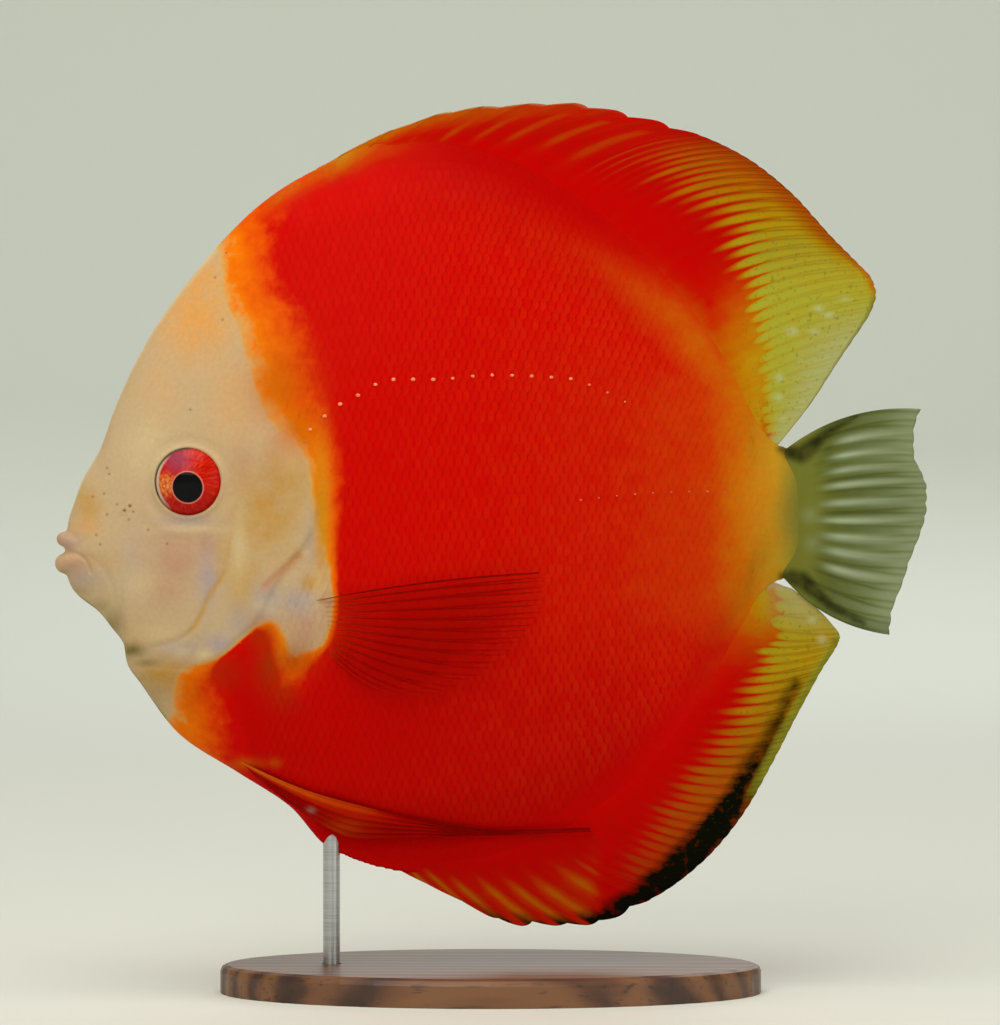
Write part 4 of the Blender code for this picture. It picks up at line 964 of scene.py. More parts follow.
def makeScales():
    x, z, lie, flesh = scalePlaces()
    small = lerp(0.8, 1.0, ease(0.9, 3.0, flesh)) * np.interp(x, [38.0, 56.0], [1.0, 0.8])
    # they lie flatter towards the fins, and their painted highlight is fainter there and strongest on the
    # rear flank
    outward = ease(0.9, 4.5, flesh)
    glint = lerp(0.42, 1.35, ease(-25.0, 25.0, x)) * outward * (1 - patches(scalePlan["dimmerGlint"], x, z))
    rows, across = scalePlan["rowsOfPoints"], scalePlan["pointsAcross"]
    a = np.linspace(0, 1, rows)[:, None] * np.ones(across)[None, :]
    b = np.linspace(-1, 1, across)[None, :] * np.ones(rows)[:, None]
    # a rounded shield: full at two thirds of its length, its rear edge an even curve
    broad = np.interp(a, [0, 0.4, 0.75, 1.0], [0.8, 1.0, 0.98, 0.8])
    forward = (a - 0.5) * scalePlan["length"] - scalePlan["recede"] * b * b
    sideways = b * broad * scalePlan["halfHeight"]
    lift = np.interp(a, [0, 0.45, 1.0], [scalePlan["root"], 0.0, scalePlan["rise"]])
    # where the painted highlight lies on each scale: towards its rear edge, fading to its sides
    rearEdgeHighlight = np.interp(a, [0.3, 0.6, 0.86, 1.0], [0.0, 0.3, 1.0, 0.6]) * (1 - 0.8 * b * b)
    shield, faceCount = sheetFaces(rows, across)
    # its patch on the unwrap: the top face, then the underside and the rim in narrow strips
    patch = scalePlan["patch"]
    local = np.stack([a, 0.5 + 0.5 * b * 0.96], -1).reshape(-1, 2)
    kinds = np.stack([np.tile(local * (patch, patch * tall) + (0, patch * low), (2, 1))
                      for tall, low in ((0.72, 0), (0.12, 0.76), (0.08, 0.9))])
    kind = np.repeat([0, 1, 2], [faceCount, faceCount, len(shield) - 2 * faceCount])
    for sideName, side in hands:
        tilt = (lie + chance.normal(0, 0.03, len(x)))[:, None, None]
        size = small[:, None, None]
        sx = x[:, None, None] + size * (forward * np.cos(tilt) - sideways * np.sin(tilt))
        sz = z[:, None, None] + size * (forward * np.sin(tilt) + sideways * np.cos(tilt))
        high = (chance.normal(1, 0.12, len(x)) * small ** 0.6 * lerp(0.4, 1.0, outward))[:, None, None]
        level = fleshWidth(sx, sz) - skinPlan["coat"] + lift * high - 0.03 * (b * b)
        points = np.stack([np.stack([sx, side * y, sz], -1) for y in (level, level - scalePlan["thick"])], 1)
        points = points.reshape(len(x), -1, 3)
        faces = shield[:, ::-side]
        corner = kinds[kind[:, None], faces]
        corner[kind == 2, 1:3, 1] += patch * 0.02
        root = bodyPlace(x, side * flesh, z) + (0, 0.5 if side > 0 else 0.0)
        uv = root[:, None, None, :] + corner[None]
        order = np.argsort(x)
        half = len(x) // 2
        for label, pick in (("front", order[:half]), ("rear", order[half:])):
            spots = points[pick].reshape(-1, 3)
            fields = bodyColours(*measured(spots))
            bright = chance.uniform(0.25, 0.75, len(pick)) * glint[pick]
            fields["rearEdgeHighlight"] = np.tile(rearEdgeHighlight.ravel(), 2 * len(pick)) * np.repeat(bright, points.shape[1])
            coat = addMesh(f"scales_{sideName}_{label}", spots, manyFaces(faces, len(pick), points.shape[1]),
                           scaleSkin, fields, uv[pick].reshape(-1, 2))
            coat.data.set_sharp_from_angle(angle=math.radians(50))
            dressUp(coat)
    print("scales on each side:", len(x))


makeScales()

print("stage: lateral line")
lateralLine = {
    "front": {"pitch": 3.42, "fade": 0.85, "look": paintPore("pearlyPore", "#F0683C", "#FF9C6C"),
              "line": [(-31.7, 88.6), (-26.7, 92.9), (-23.3, 94.6), (-17.7, 97.4), (-10.0, 97.4),
                       (0.1, 98.2), (13.2, 97.7), (19.3, 95.7), (23.5, 93.6)]},
    "rear": {"pitch": 3.08, "fade": 0.5, "look": paintPore("dullPore", "#D2421C", "#DE6A34"),
             "line": [(15.7, 76.3), (26.4, 77.4), (37.0, 77.8), (47.7, 77.4)]},
    # half the length, half the height and the height over the skin, and how deep its foot goes
    "size": (0.44, 0.34, 0.17), "deep": 1.2,
}


def makeLateralLine():
    polar = np.linspace(0, math.pi / 2, 5)[1:]
    deep = -lateralLine["deep"]
    domeX, domeZ, domeY, dome = roundBody([*np.sin(polar), 1.0], [1, *np.cos(polar), deep, deep], 12)
    along, up, out = lateralLine["size"]
    for sideName, side in hands:
        for part in ("front", "rear"):
            plan = lateralLine[part]
            line = plan["line"]
            length = sum(math.dist(p, q) for p, q in zip(line, line[1:]))
            share = np.linspace(0, 1, round(length / plan["pitch"]) + 1)
            px, pz = routeLine(line)(share)
            size = plan["fade"] * np.interp(share, [0, 0.75, 1], [1.0, 1.0, 0.55])
            size = (size * chance.uniform(0.85, 1.15, len(share)))[:, None]
            level = fleshWidth(px, pz)[:, None] + 0.02 + size * out * domeY
            points = np.stack([px[:, None] + size * along * domeX, side * level,
                               pz[:, None] + size * up * domeZ], -1).reshape(-1, 3)
            faces = manyFaces(dome[:, ::side], len(px), len(domeX))
            piece = addMesh(f"lateral_line_{part}_{sideName}", points, faces, plan["look"])
            dressUp(piece)


makeLateralLine()

print("stage: fins")


def rayColumns(rays, perGap):
    # shares of the foot, and for each column how far it lies from its ray, in gaps
    gaps = np.linspace(0, 1, perGap, endpoint=False)
    share = np.concatenate([lerp(a, b, gaps) for a, b in zip(rays, rays[1:])] + [[rays[-1]]])
    phase = np.concatenate([np.tile(gaps, len(rays) - 1), [0.0]])
    gap = np.concatenate([np.repeat(np.arange(len(rays) - 1), perGap), [len(rays) - 2]])
    return share, np.minimum(phase, 1 - phase), gap


def makeFin(name, plan, place, root, look, colours, middle=None):
    # plan: rays, perGap, rows, split (where soft rays fork), ray radius and height, notch
    share, off, gap = rayColumns(plan["rays"], plan["perGap"])
    share, off = share[None, :], off[None, :]
    reach = np.linspace(0, 1, plan["rows"])[:, None]
    soft = ease(plan["softFrom"] - 0.01, plan["softFrom"] + 0.01, share)
    ragged = chance.uniform(0.0, 1.0, len(plan["rays"]))[gap][None, :]
    notch = lerp(plan["spineNotch"], plan["rayNotch"], soft) * (0.6 + 0.8 * ragged)
    trim = 1 - notch * (2 * off) ** 1.6
    x, z = place(share, reach * trim)
    x, z = np.broadcast_arrays(x, z)
    firsts = np.arange(0, x.shape[1] - 1, plan["perGap"])
    lasts = firsts + plan["perGap"]
    wide = np.hypot(x[:, lasts] - x[:, firsts], z[:, lasts] - z[:, firsts])
    wide = wide[:, gap]
    fork = 0.2 * soft * ease(plan["split"], 1.0, reach)
    ray = hill((off - fork) * wide, lerp(plan["rayRadius"], 0.6 * plan["rayRadius"], reach))
    spine = 1 - soft
    height = lerp(plan["rayHeight"], plan["spineHeight"], spine) * (1 - 0.55 * reach)
    height = height * ease(*plan["rayFrom"], reach)
    half = root(share, reach) + plan["membrane"] * lerp(1.0, 0.62, reach) + height * ray
    y = np.zeros(x.shape) if middle is None else middle(share, reach, x, z, half)
    y = y + plan["wave"] * reach ** 2 * np.sin(plan["waves"] * share * 2 * math.pi + 2.0 * reach)
    points, faces, nearCount = closedSheet(x, z, y - half, y + half)
    fields = {"share": share + 0 * x, "reach": reach + 0 * x}
    fields.update(colours(x, z, share + 0 * x, reach + 0 * x, ray, off + 0 * x, gap))
    fields = {key: np.concatenate([np.ravel(value), np.ravel(value)]) for key, value in fields.items()}
    # unwrap: the two faces of the sheet side by side, the rim in the strip between them
    count = x.size
    spread = np.stack([0.02 + 0.96 * share + 0 * x, 0.02 + 0.44 * reach + 0 * x], -1).reshape(-1, 2)
    spread = np.concatenate([spread, spread + (0, 0.52)])
    uv = spread[faces]
    rimFaces = np.arange(len(faces)) >= 2 * nearCount
    uv[rimFaces, :, 1] = 0.47 + 0.02 * (faces[rimFaces] >= count) + 0.002 * uv[rimFaces, :, 1]
    return addMesh(name, points, faces, look, fields, uv.reshape(-1, 2))


def raysOf(spines, soft, softFrom=0.0):
    # their shares of the fin's foot: the hard spines, then the soft rays from softFrom on
    return ([softFrom * i / spines for i in range(spines)]
            + [lerp(softFrom, 1.0, i / soft) for i in range(soft + 1)])


medianFin = {
    "rows": 64, "perGap": 10, "split": 0.4, "rayRadius": 0.3, "rayHeight": 0.11, "spineHeight": 0.13,
    "membrane": 0.2, "rayNotch": 0.004, "wave": 0.3, "waves": 3.0, "rayFrom": (0.35, 0.8), "sink": 2.0,
}
dorsal = {
    **medianFin, "softFrom": 0.47, "spineNotch": 0.045, "rays": raysOf(9, 34, 0.47),
    "edge": [
        (0.00, -36.7, -34.8, 132.9), (0.10, -28.7, -18.5, 141.7), (0.20, -18.9, -3.0, 146.1),
        (0.30, -9.1, 13.0, 146.9), (0.40, 0.6, 27.0, 144.3), (0.47, 7.7, 36.5, 141.3),
        (0.55, 14.8, 45.5, 137.0), (0.63, 21.9, 53.6, 130.6), (0.70, 28.5, 60.3, 123.2),
        (0.76, 33.8, 65.4, 118.0), (0.79, 36.2, 67.5, 115.6), (0.82, 38.5, 68.3, 112.8),
        (0.85, 40.3, 67.4, 109.8), (0.87, 41.4, 65.7, 107.0), (0.91, 43.4, 61.5, 100.8),
        (0.95, 45.2, 56.9, 93.7), (1.00, 47.1, 51.0, 86.2)],
    "bow": [
        (0.0, 0.03), (0.12, 0.05), (0.3, 0.07), (0.47, 0.1), (0.6, 0.14), (0.7, 0.13), (0.8, 0.08),
        (0.9, 0.05), (1.0, 0.04)],
    "yellowFrom": [
        (14.0, 152.0), (18.0, 142.0), (23.5, 136.4), (27.1, 134.6), (29.7, 132.3), (32.6, 130.0),
        (34.8, 127.8), (37.9, 125.5), (40.2, 123.2), (41.6, 120.9), (42.5, 118.2), (43.4, 115.6),
        (44.8, 111.5), (45.9, 106.9), (46.6, 102.4), (47.0, 97.0), (47.6, 92.0), (49.1, 84.0)],
    "paleSpots": [
        (53.4, 106.3, 1.0, 0.7, 0.55), (57.4, 106.2, 1.2, 0.6, 0.4), (58.1, 110.3, 0.9, 0.6, 0.5),
        (59.9, 109.1, 1.1, 0.6, 0.5), (51.2, 98.0, 0.8, 0.8, 0.5), (50.9, 94.5, 1.0, 0.8, 0.45),
        (51.8, 90.6, 1.2, 0.8, 0.4), (55.0, 101.0, 0.8, 0.6, 0.3), (62.7, 112.0, 0.9, 0.5, 0.3)],
}
anal = {
    **medianFin, "softFrom": 0.36, "spineNotch": 0.05, "rays": raysOf(8, 32, 0.36),
    "edge": [
        (0.00, -26.0, -21.2, 13.1), (0.09, -18.9, -8.0, 6.4), (0.18, -10.9, 5.5, 0.7),
        (0.27, -2.9, 17.0, 0.8), (0.36, 5.1, 28.0, 5.2), (0.46, 13.0, 37.5, 12.1), (0.56, 19.3, 44.6, 20.4),
        (0.65, 25.0, 49.6, 29.0), (0.74, 30.6, 54.2, 38.0), (0.82, 36.0, 58.6, 46.1),
        (0.89, 40.2, 61.6, 51.0), (0.93, 42.3, 61.9, 52.2), (0.97, 45.2, 58.0, 57.0),
        (1.00, 47.1, 53.4, 60.6)],
    "bow": [(0.0, 0.03), (0.15, 0.05), (0.36, 0.08), (0.6, 0.1), (0.8, 0.08), (0.93, 0.05), (1.0, 0.03)],
    "yellowFrom": [
        (18.0, 0.0), (19.9, 8.5), (22.9, 13.2), (26.4, 17.5), (29.4, 21.8), (32.8, 26.1), (36.3, 30.4),
        (39.3, 34.7), (42.3, 39.0), (43.7, 42.9), (45.8, 46.3), (47.8, 49.4), (49.2, 54.9), (49.6, 62.2),
        (49.8, 66.0)],
    "blackBand": [
        (-9.1, 4.8, 0.3), (1.5, 1.6, 0.5), (12.2, 0.4, 0.8), (18.0, 1.4, 1.2), (21.5, 2.8, 1.6),
        (25.4, 4.8, 2.0), (31.0, 9.0, 2.4), (36.4, 14.2, 2.7), (40.9, 19.3, 2.5), (44.1, 24.0, 2.2),
        (46.0, 28.0, 2.0), (48.8, 32.6, 1.6), (51.5, 38.2, 1.1), (54.0, 43.6, 0.8)],
    "paleSpots": [(56.9, 55.0, 1.0, 0.8, 0.6), (58.7, 51.5, 0.8, 0.8, 0.5)],
}


def bowed(start, end, reach, bow):
    # the way from the foot to the edge of a fin, bent sideways by a share of its length
    (x0, z0), (x1, z1) = start, end
    dx, dz, lift = x1 - x0, z1 - z0, bow * 4 * reach * (1 - reach)
    return x0 + dx * reach - dz * lift, z0 + dz * reach + dx * lift


def medianPlace(plan, line, outward):
    # the foot is sunk into the flesh
    footX = smoothLine([(r[0], r[1]) for r in plan["edge"]])
    edge = pairLine([(r[0], r[2], r[3]) for r in plan["edge"]])

    def place(share, reach):
        x = footX(share)
        slope = (line(x + 0.05) - line(x - 0.05)) / 0.1
        sink, length = outward * plan["sink"], np.hypot(1.0, slope)
        foot = (x + sink * slope / length, line(x) - sink / length)
        bow = outward * np.interp(share, *zip(*plan["bow"]))
        return bowed(foot, edge(share), reach, bow)

    return place


def thickRoot(share, reach):
    atEnds = np.minimum(1, np.minimum(0.5 + share / 0.08, (1 - share) / 0.08))
    return 0.6 * np.clip(1 - reach / 0.9, 0, 1) ** 1.2 * atEnds


def fingers(turn, length, softness, off):
    # between the rays the membrane turns first, and the red runs on in points along them
    return ease(-softness, softness, turn - length * (1 - 2 * off) ** 2.6)


def dorsalColours(x, z, share, reach, ray, off, gap):
    turn = -beyondLine(traced(dorsal["yellowFrom"], 30), [(90.0, 84.0), (90.0, 160.0)], x, z)
    late = chance.normal(0, 1.3, len(dorsal["rays"]))[gap][None, :]
    lobe = ease(0.62, 0.82, share)
    length = np.interp(share, [0.55, 0.65, 0.75, 0.84, 0.93], [9.0, 8.0, 5.0, 2.2, 1.1])
    softness = np.interp(share, [0.55, 0.65, 0.75, 0.84, 0.93], [5.0, 4.2, 3.2, 2.6, 2.9])
    yellow = fingers(turn + late * lerp(1.0, 0.35, lobe), length, softness, off) * ease(0.42, 0.54, share)
    cap = np.interp(z, [112.0, 121.0, 129.0, 138.0], [0.98, 0.88, 0.66, 0.44])
    margin = ease(0.84, 1.0, reach)
    cap = lerp(cap, 0.4, 0.8 * margin * ease(0.8, 0.7, share))
    front = np.interp(share, [0.0, 0.12, 0.25, 0.4], [0.6, 0.5, 0.36, 0.12]) * ease(0.35, 0.9, reach)
    between = 0.34 * hill(0.5 - off, 0.2) * ease(0.25, 0.55, reach) * ease(0.98, 0.8, reach)
    between = between * ease(0.12, 0.24, share) * ease(0.58, 0.48, share)
    glow = 0.3 * ease(-5.0, 0.0, turn) * ease(0.74, 0.9, share) * ease(0.05, 0.35, reach)
    flank = flankWarmth(x, z)[0] * ease(0.75, 0.25, reach)
    warmth = np.maximum.reduce([yellow * cap, front, between, glow, flank])
    edgeLine = ease(0.955, 0.985, reach) * ease(0.66, 0.76, share) * ease(0.84, 0.8, share)
    warmth = lerp(warmth, 0.52, 0.85 * edgeLine)
    dark = (0.07 + 0.11 * ease(0.25, 0.55, reach)) * ease(0.08, 0.3, share) * ease(0.8, 0.7, share)
    dark = dark + 0.16 * margin * ease(0.4, 0.5, share) * ease(0.8, 0.72, share)
    dark = np.maximum(dark, 0.55 * ease(0.98, 0.995, reach) * ease(0.38, 0.5, share) * ease(0.84, 0.7, share))
    dark = np.maximum(dark, 0.45 * ease(0.97, 0.99, reach) * ease(0.8, 0.84, share))
    rearEdge = ease(0.82, 0.9, share) * ease(0.45, 0.95, reach)
    pale = np.maximum(patches(dorsal["paleSpots"], x, z), 0.36 * rearEdge * (1 - 0.4 * ray))
    pale = np.maximum(pale, 0.4 * ease(0.95, 0.99, reach) * ease(0.4, 0.2, share) * (1 - ray))
    rayTint = ray * yellow * lerp(0.6, 0.14, lobe) + 0.3 * ray * ease(0.5, 0.9, reach) * ease(0.5, 0.4, share)
    clear = 0.1 * lobe * yellow + 0.18 * rearEdge * (1 - ray)
    return {"warmth": warmth, "dark": dark, "pale": pale, "ray": rayTint, "clear": clear * (1 - dark)}


def analColours(x, z, share, reach, ray, off, gap):
    turn = -beyondLine(traced(anal["yellowFrom"], 30), [(90.0, 66.0), (90.0, -3.0)], x, z)
    late = chance.normal(0, 0.9, len(anal["rays"]))[gap][None, :]
    soft = ease(17.0, 21.0, x)
    lobe = ease(0.78, 0.9, share)
    yellow = fingers(turn - 0.3 + 0.6 * late, lerp(4.6, 2.0, lobe), lerp(3.2, 2.0, lobe), off)
    yellow = yellow * ease(0.34, 0.42, share)
    cap = np.interp(z, [8.0, 16.0, 30.0, 44.0, 54.0], [0.26, 0.36, 0.52, 0.72, 0.86])
    spiny = 0.48 * ease(0.32, 0.68, reach) * (1 - soft) * (0.35 + 0.65 * hill(0.5 - off, 0.24))
    flank = flankWarmth(x, z)[0] * ease(0.9, 0.3, reach)
    glow = 0.3 * ease(-3.5, 0.0, turn) * lobe * ease(0.05, 0.35, reach)
    outer = ease(0.88, 0.97, reach) * ease(0.54, 0.68, share) * ease(0.97, 0.9, share)
    warmth = np.maximum.reduce([yellow * cap, spiny, flank, glow, ease(0.0, 0.5, outer)])
    black = ribbon(anal["blackBand"], x, z)
    inner = ease(7.0, 0.5, black) * ease(0.4, 0.5, share) * ease(0.9, 0.82, share)
    dark = 1.15 * ease(2.9, -1.5, black - 0.3 * (ray - 0.35) * soft + 0.14 * late * (1 - lobe))
    dark = dark * lerp(1.0, 0.78, ease(22.0, 34.0, z))
    # in the spiny part only a dash between each two spines is black
    dark = dark * lerp(ease(0.1, 0.24, off), 1.0, soft)
    dark = np.maximum(dark, 0.5 * inner * (0.6 + 0.4 * ray))
    dark = lerp(dark, 0.5, outer)
    dark = np.maximum(dark, patches([(53.9, 44.0, 1.2, 1.8, 0.65), (55.6, 47.5, 0.7, 1.2, 0.3)], x, z))
    dark = np.maximum(dark, (0.2 + 0.1 * ease(50.0, 30.0, z) * yellow) * ease(0.0, 0.45, reach))
    rearEdge = ease(0.93, 0.98, share) * ease(0.25, 0.8, reach)
    pale = np.maximum(patches(anal["paleSpots"], x, z), 0.3 * rearEdge)
    pale = np.maximum(pale, 0.5 * ease(0.984, 0.998, share) * ease(0.05, 0.2, reach))
    rayTint = ray * (0.32 * yellow + 0.25 * ease(0.5, 0.9, reach) * (1 - soft))
    clear = (0.06 * yellow + 0.1 * rearEdge * (1 - ray)) * (1 - dark)
    return {"warmth": warmth, "dark": dark, "pale": pale, "ray": rayTint, "clear": clear}


for finName, plan, line, outward, colours in (("dorsal", dorsal, back, 1, dorsalColours),
                                              ("anal", anal, belly, -1, analColours)):
    fin = makeFin(finName, plan, medianPlace(plan, line, outward), thickRoot, medianFinSkin, colours)
    dressUp(fin, [finName + "_fin"])

tail = {
    "rows": 60, "perGap": 10, "split": 0.4, "rayRadius": 0.34, "rayHeight": 0.22, "spineHeight": 0.22,
    "membrane": 0.2, "softFrom": -1.0, "spineNotch": 0.0, "rayNotch": 0.008, "wave": 0.5, "waves": 1.5,
    "rayFrom": (0.2, 0.42), "rays": raysOf(0, 16), "footX": 53.8, "footZ": (84.6, 63.2), "sink": 2.5,
    "bow": 0.1,
    "edge": [
        (0.0, 76.3, 92.5), (0.1, 75.0, 88.4), (0.2, 75.0, 84.3), (0.3, 76.3, 81.3), (0.4, 77.3, 78.1),
        (0.5, 77.3, 74.6), (0.6, 76.3, 70.7), (0.7, 74.5, 66.0), (0.8, 72.9, 61.3), (0.9, 71.1, 56.5),
        (1.0, 70.6, 52.4)],
    "grey": [(56.5, 73.6, 1.4, 1.4, 0.2), (57.0, 68.6, 1.4, 1.4, 0.18)],
    # the middles of the painted highlight bands along the fin
    "ridgeHighlightMiddles": [0.11, 0.185, 0.265, 0.35, 0.45, 0.545, 0.63, 0.70, 0.78],
}


def tailPlace(share, reach):
    foot = (tail["footX"] - tail["sink"], lerp(*tail["footZ"], share))
    return bowed(foot, pairLine(tail["edge"])(share), reach, tail["bow"] * (1 - 2 * share))


def tailRoot(share, reach):
    return 1.35 * np.sqrt(np.clip(4 * share * (1 - share), 0, 1)) * np.clip(1 - reach / 0.5, 0, 1) ** 1.5


def tailColours(x, z, share, reach, ray, off, gap):
    dark = tailRootDark(x, z)
    dark = np.maximum(dark, 0.35 * ease(0.9, 1.0, share) * ease(0.3, 0.6, reach))
    dark = np.maximum(dark, 0.32 * ease(0.22, 0.4, reach) * ease(0.95, 0.5, reach))
    # painted highlights: pale bands along the fin, as if its ridges caught the light, brightest where they
    # begin
    ridgeHighlights = np.zeros(x.shape)
    for middle in tail["ridgeHighlightMiddles"]:
        start = 0.22 + 0.9 * (middle - 0.5) ** 2
        fade = ease(start, start + 0.2, reach) * lerp(0.9, 0.3, ease(0.45, 0.95, reach))
        ridgeHighlights = np.maximum(ridgeHighlights, fade * hill(share - middle, 0.019))
    pale = np.maximum(ridgeHighlights, 0.24 * ease(0.75, 1.0, reach)) + patches(tail["grey"], x, z)
    warmth = 0.05 + 0.55 * reach
    rayTint = 0.7 * ray * ease(0.2, 0.45, reach) * (1 - ridgeHighlights)
    dark = dark * (1 - 0.9 * np.clip(ridgeHighlights, 0, 1))
    clear = (0.04 + 0.22 * (1 - ray)) * ease(0.22, 0.7, reach) * (1 - dark)
    return {"warmth": warmth, "dark": dark, "pale": pale, "ray": rayTint, "clear": clear}


fin = makeFin("caudal", tail, tailPlace, tailRoot, tailFinSkin, tailColours)
dressUp(fin, ["tail_fin"])

pectoral = {
    "rows": 48, "perGap": 10, "split": 0.35, "rayRadius": 0.26, "rayHeight": 0.16, "spineHeight": 0.16,
    "membrane": 0.13, "softFrom": -1.0, "spineNotch": 0.0, "rayNotch": 0.02, "wave": 0.3, "waves": 1.0,
    "rayFrom": (0.0, 0.15), "rays": raysOf(0, 13), "spread": 3.6, "sink": 1.4, "bow": (0.02, -0.1),
    "foot": [(0.0, -30.1, 58.6), (1.0, -27.6, 50.4)],
    "edge": [
        (0.0, 8.3, 63.7), (0.1, 9.5, 62.1), (0.25, 8.8, 57.9), (0.4, 6.5, 53.6), (0.55, 2.6, 49.4),
        (0.7, -3.1, 45.1), (0.85, -10.6, 42.1), (1.0, -17.1, 42.1)],
}


def pectoralPlace(share, reach):
    x, z = pairLine(pectoral["foot"])(share)
    edge = pairLine(pectoral["edge"])(share)
    return bowed((x - pectoral["sink"], z), edge, reach, lerp(*pectoral["bow"], share))


def pectoralRoot(share, reach):
    return 0.4 * np.clip(1 - reach * 6, 0, 1) + 0 * share


def pectoralColours(x, z, share, reach, ray, off, gap):
    # nearly clear at its root, where only the rays are seen, and redder outwards
    upper = ease(0.035, 0.0, share)
    rays = lerp(0.36, 0.62, ease(0.05, 0.45, reach)) * ray * ease(0.02, 0.14, reach) * ease(1.06, 0.85, reach)
    film = (0.02 + 0.24 * ease(0.12, 0.5, reach) * ease(1.02, 0.75, reach)
            * lerp(0.5, 1.0, ease(0.1, 0.6, share)))
    solid = np.maximum(np.maximum(rays, film), 0.72 * upper * ease(0.0, 0.05, reach))
    return {"warmth": 0.05 + 0.5 * ease(0.4, 0.05, reach), "dark": 0.55 * upper + 0 * x, "pale": 0 * x,
            "ray": 0.85 * ray * ease(0.02, 0.2, reach), "clear": 1 - solid}


def pectoralOut(share, reach, x, z, half):
    sunk = 0.8 * ease(0.08, 0.0, reach)
    return lensWidth(x, z) + 0.45 + half + pectoral["spread"] * reach ** 1.3 - 2.4 * sunk


def makePair(kind, plan, place, root, colours, out):
    # the fins of both sides: out gives how far the middle of the fin stands from the mid plane
    for handName, side in hands:
        fin = makeFin(f"{kind}_{handName}", plan, place, root, pairedFinSkin, colours,
                      lambda *where: side * out(*where))
        dressUp(fin, [f"{kind}_fin_{handName}"])


makePair("pectoral", pectoral, pectoralPlace, pectoralRoot, pectoralColours, pectoralOut)

pelvic = {
    "rows": 90, "perGap": 8, "split": 0.8, "rayRadius": 0.3, "rayHeight": 0.18, "spineHeight": 0.24,
    "membrane": 0.16, "softFrom": 0.15, "spineNotch": 0.0, "rayNotch": 0.0, "wave": 0.0, "waves": 1.0,
    "rayFrom": (0.0, 0.12), "rays": raysOf(0, 5),
    "upper": [
        (0.0, -44.6, 30.2), (0.2, -34.0, 25.6), (0.4, -23.3, 22.5), (0.6, -12.7, 19.9), (0.8, 2.0, 17.9),
        (1.0, 17.5, 18.3)],
    "lower": [
        (0.0, -41.6, 27.2), (0.2, -33.0, 20.9), (0.4, -23.1, 16.4), (0.6, -11.9, 16.8), (0.8, 2.3, 17.0),
        (1.0, 17.5, 17.6)],
}


def pelvicPlace(share, reach):
    (x0, z0), (x1, z1) = pairLine(pelvic["upper"])(reach), pairLine(pelvic["lower"])(reach)
    return lerp(x0, x1, share), lerp(z0, z1, share)


def pelvicRoot(share, reach):
    return 0.2 * np.clip(1 - reach * 3, 0, 1) + 0 * share


def pelvicColours(x, z, share, reach, ray, off, gap):
    # an orange ridge along the spine, a painted shadow in dark red below it, and a paler patch before the
    # thread
    ridge = ease(0.5, 0.1, share) * ease(0.56, 0.4, reach) * lerp(0.9, 0.5, reach / 0.4)
    second = patches([(-26.0, 18.6, 5.5, 2.4, 0.5)], x, z)
    thread = ease(0.5, 0.7, reach)
    grey = patches([(-31.8, 21.6, 0.7, 0.5, 0.5)], x, z)
    shadowBelow = 0.3 * ease(0.3, 0.5, share) * (1 - thread)
    return {"warmth": np.maximum(0.02 + ridge, second), "dark": np.maximum(0.5 * thread, shadowBelow), "pale": grey,
            "ray": 0.2 * ray * (1 - ridge), "clear": 0 * x}


def pelvicOut(share, reach, x, z, half):
    clear = np.maximum(lensWidth(x, z), 1.7)
    return clear + 0.2 + half + 0.3 * np.minimum(1, reach * 5) - 0.9 * ease(0.05, 0.0, reach)


makePair("pelvic", pelvic, pelvicPlace, pelvicRoot, pelvicColours, pelvicOut)

print("stage: eyes and stand")


def makeEye(handName, side):
    # a flattened ball set into the socket, its pole towards the side
    polar = np.linspace(0, math.pi, 48)[1:-1]
    across, upward, out, faces = roundBody(np.sin(polar), [1, *np.cos(polar), -1], 96)
    across, upward, out = across * eye["radius"], upward * eye["radius"], out * eye["depth"]
    # the cornea stands a little over the even curve of the ball
    out = out + 0.12 * hill(np.hypot(across, upward), 3.6) * (out > 0)
    turn = eye["turn"]
    middleY = lensWidth(np.array([eye["x"]]), np.array([eye["z"]]))[0] - eye["sunk"]
    closer = 1 - (middleY + eye["depth"]) / studio["distance"]
    middleX = studio["middleX"] + (eye["x"] - studio["middleX"]) * closer
    x = middleX + across * math.cos(turn) - out * math.sin(turn)
    y = side * (middleY + out * math.cos(turn) + across * math.sin(turn))
    points = np.stack([x, y, eye["z"] + upward], -1)
    ball = addMesh("ball_" + handName, points, faces[:, ::side], irisLook,
                   {"across": across, "upward": upward})
    dressUp(ball, ["eye_" + handName])


irisLook = paintEye()
for handName, side in hands:
    makeEye(handName, side)

for node, look in (("stand_base", paintWalnut()), ("stand_rod", paintSteel())):
    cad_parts[node].data.materials.clear()
    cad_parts[node].data.materials.append(look)

print("stage: studio")


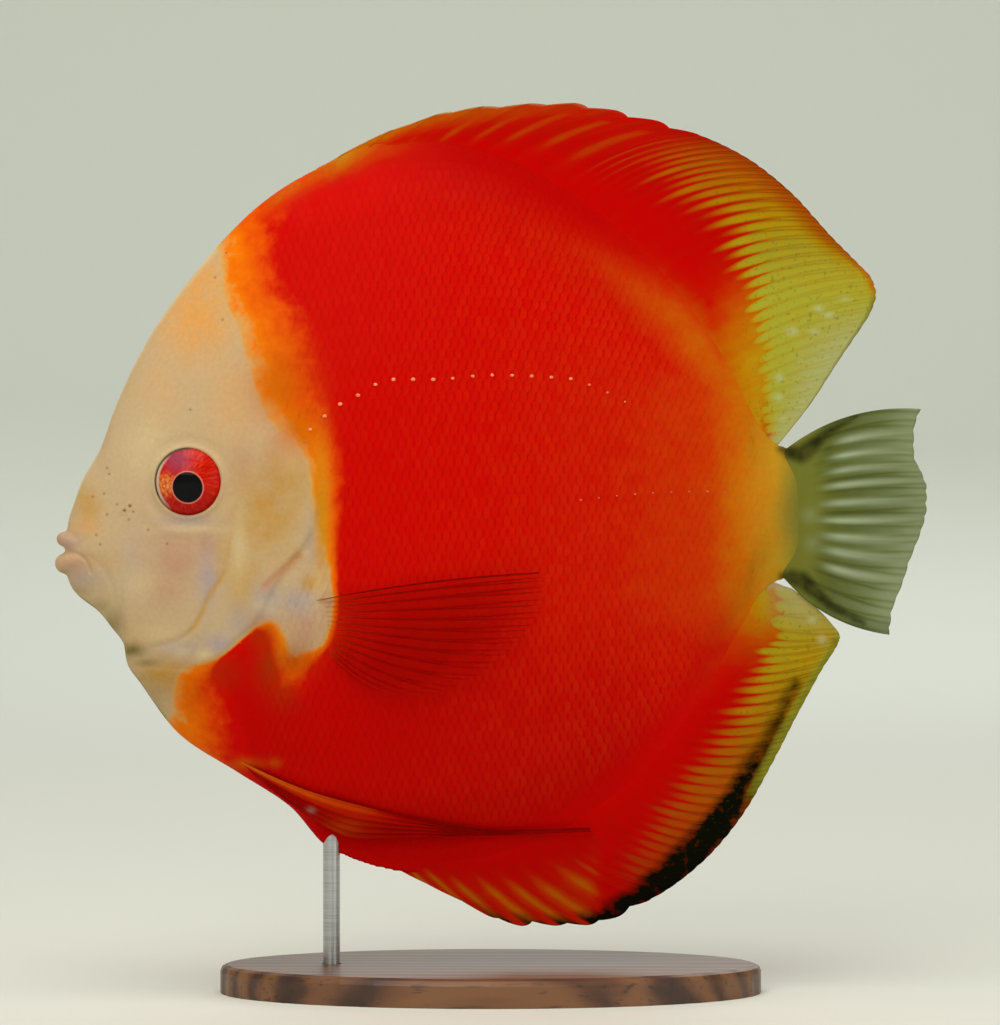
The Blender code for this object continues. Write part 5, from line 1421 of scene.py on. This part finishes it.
def makeSweep():
    # a round paper sweep: flat in the middle and curved up all round, so that no edge shows
    radius, bend = studio["floorRadius"], studio["bend"]
    outline = [(0.0, 0.0), (0.3, 0.0), (0.7, 0.0), (radius, 0.0)]
    for i in range(1, 25):
        turn = math.pi / 2 * i / 24
        outline.append((radius + bend * math.sin(turn), bend * (1 - math.cos(turn))))
    outline.append((radius + bend, bend + studio["wall"]))
    bm = bmesh.new()
    verts = [bm.verts.new((r, 0, z)) for r, z in outline]
    edges = [bm.edges.new(pair) for pair in zip(verts, verts[1:])]
    bmesh.ops.spin(bm, geom=verts + edges, axis=(0, 0, 1), cent=(0, 0, 0), steps=72, angle=2 * math.pi,
                   use_duplicate=False)
    bmesh.ops.remove_doubles(bm, verts=bm.verts[:], dist=0.0005)
    bmesh.ops.recalc_face_normals(bm, faces=bm.faces[:])
    mesh = bpy.data.meshes.new("paperSweep")
    bm.to_mesh(mesh)
    bm.free()
    # Matt paper: a faint tooth and no shine
    look, tree = newLook("matPaper")
    place = addNode(tree, "TexCoord", out="Object")
    tooth = addNode(tree, "TexNoise", {"Vector": place, "Scale": 1 / (4.0 * mm), "Detail": 3.0})
    bump = addNode(tree, "Bump", {"Height": tooth, "Strength": 0.1, "Distance": 0.1 * mm})
    paper = addNode(tree, "BsdfPrincipled", {"Base Color": studio["paper"], "Roughness": 0.9, "Normal": bump})
    addNode(tree, "OutputMaterial", {"Surface": paper})
    mesh.materials.append(look)
    mesh.shade_smooth()
    linked("paperSweep", mesh)


def addLight(name, place, aim, size, power, colour):
    lamp = bpy.data.lights.new(name, "AREA")
    lamp.size = size
    lamp.energy = power
    lamp.color = linear(colour)[:3]
    made = linked(name, lamp)
    made.location = place
    made.rotation_euler = (Vector(aim) - Vector(place)).to_track_quat("-Z", "Y").to_euler()


makeSweep()
fishMiddle = (0, 0, 0.085)
addLight("topBox", (-0.1, -0.4, 1.5), fishMiddle, 1.2, 16.0, "#FFFAF2")
addLight("frontBox", (-0.5, -1.5, 1.0), fishMiddle, 1.0, 10.5, "#FFF8F0")
addLight("rightBox", (1.2, -1.0, 0.4), fishMiddle, 0.9, 3.0, "#F4F8FF")
addLight("backBox", (0.3, 1.5, 1.0), fishMiddle, 1.0, 5.0, "#F8FBFF")
addLight("wallBox", (0.0, 1.9, 1.9), (0, 3.6, 0.5), 2.0, 16.0, "#F8FBF4")
sky = bpy.data.worlds.new("softRoom")
sky.use_nodes = True
sky.node_tree.nodes["Background"].inputs["Color"].default_value = linear("#E4E8E2")
sky.node_tree.nodes["Background"].inputs["Strength"].default_value = 0.34
bpy.context.scene.world = sky

camera = bpy.data.cameras.new("camera")
camera.lens = 36.0 * studio["distance"] / studio["frameHeight"]
camera.sensor_width = 36.0
seen = linked("camera", camera)
seen.location = Vector((studio["middleX"], -studio["distance"], studio["middleZ"])) * mm
seen.rotation_euler = (math.pi / 2, 0, 0)
bpy.context.scene.camera = seen
bpy.context.scene.view_settings.view_transform = "Standard"
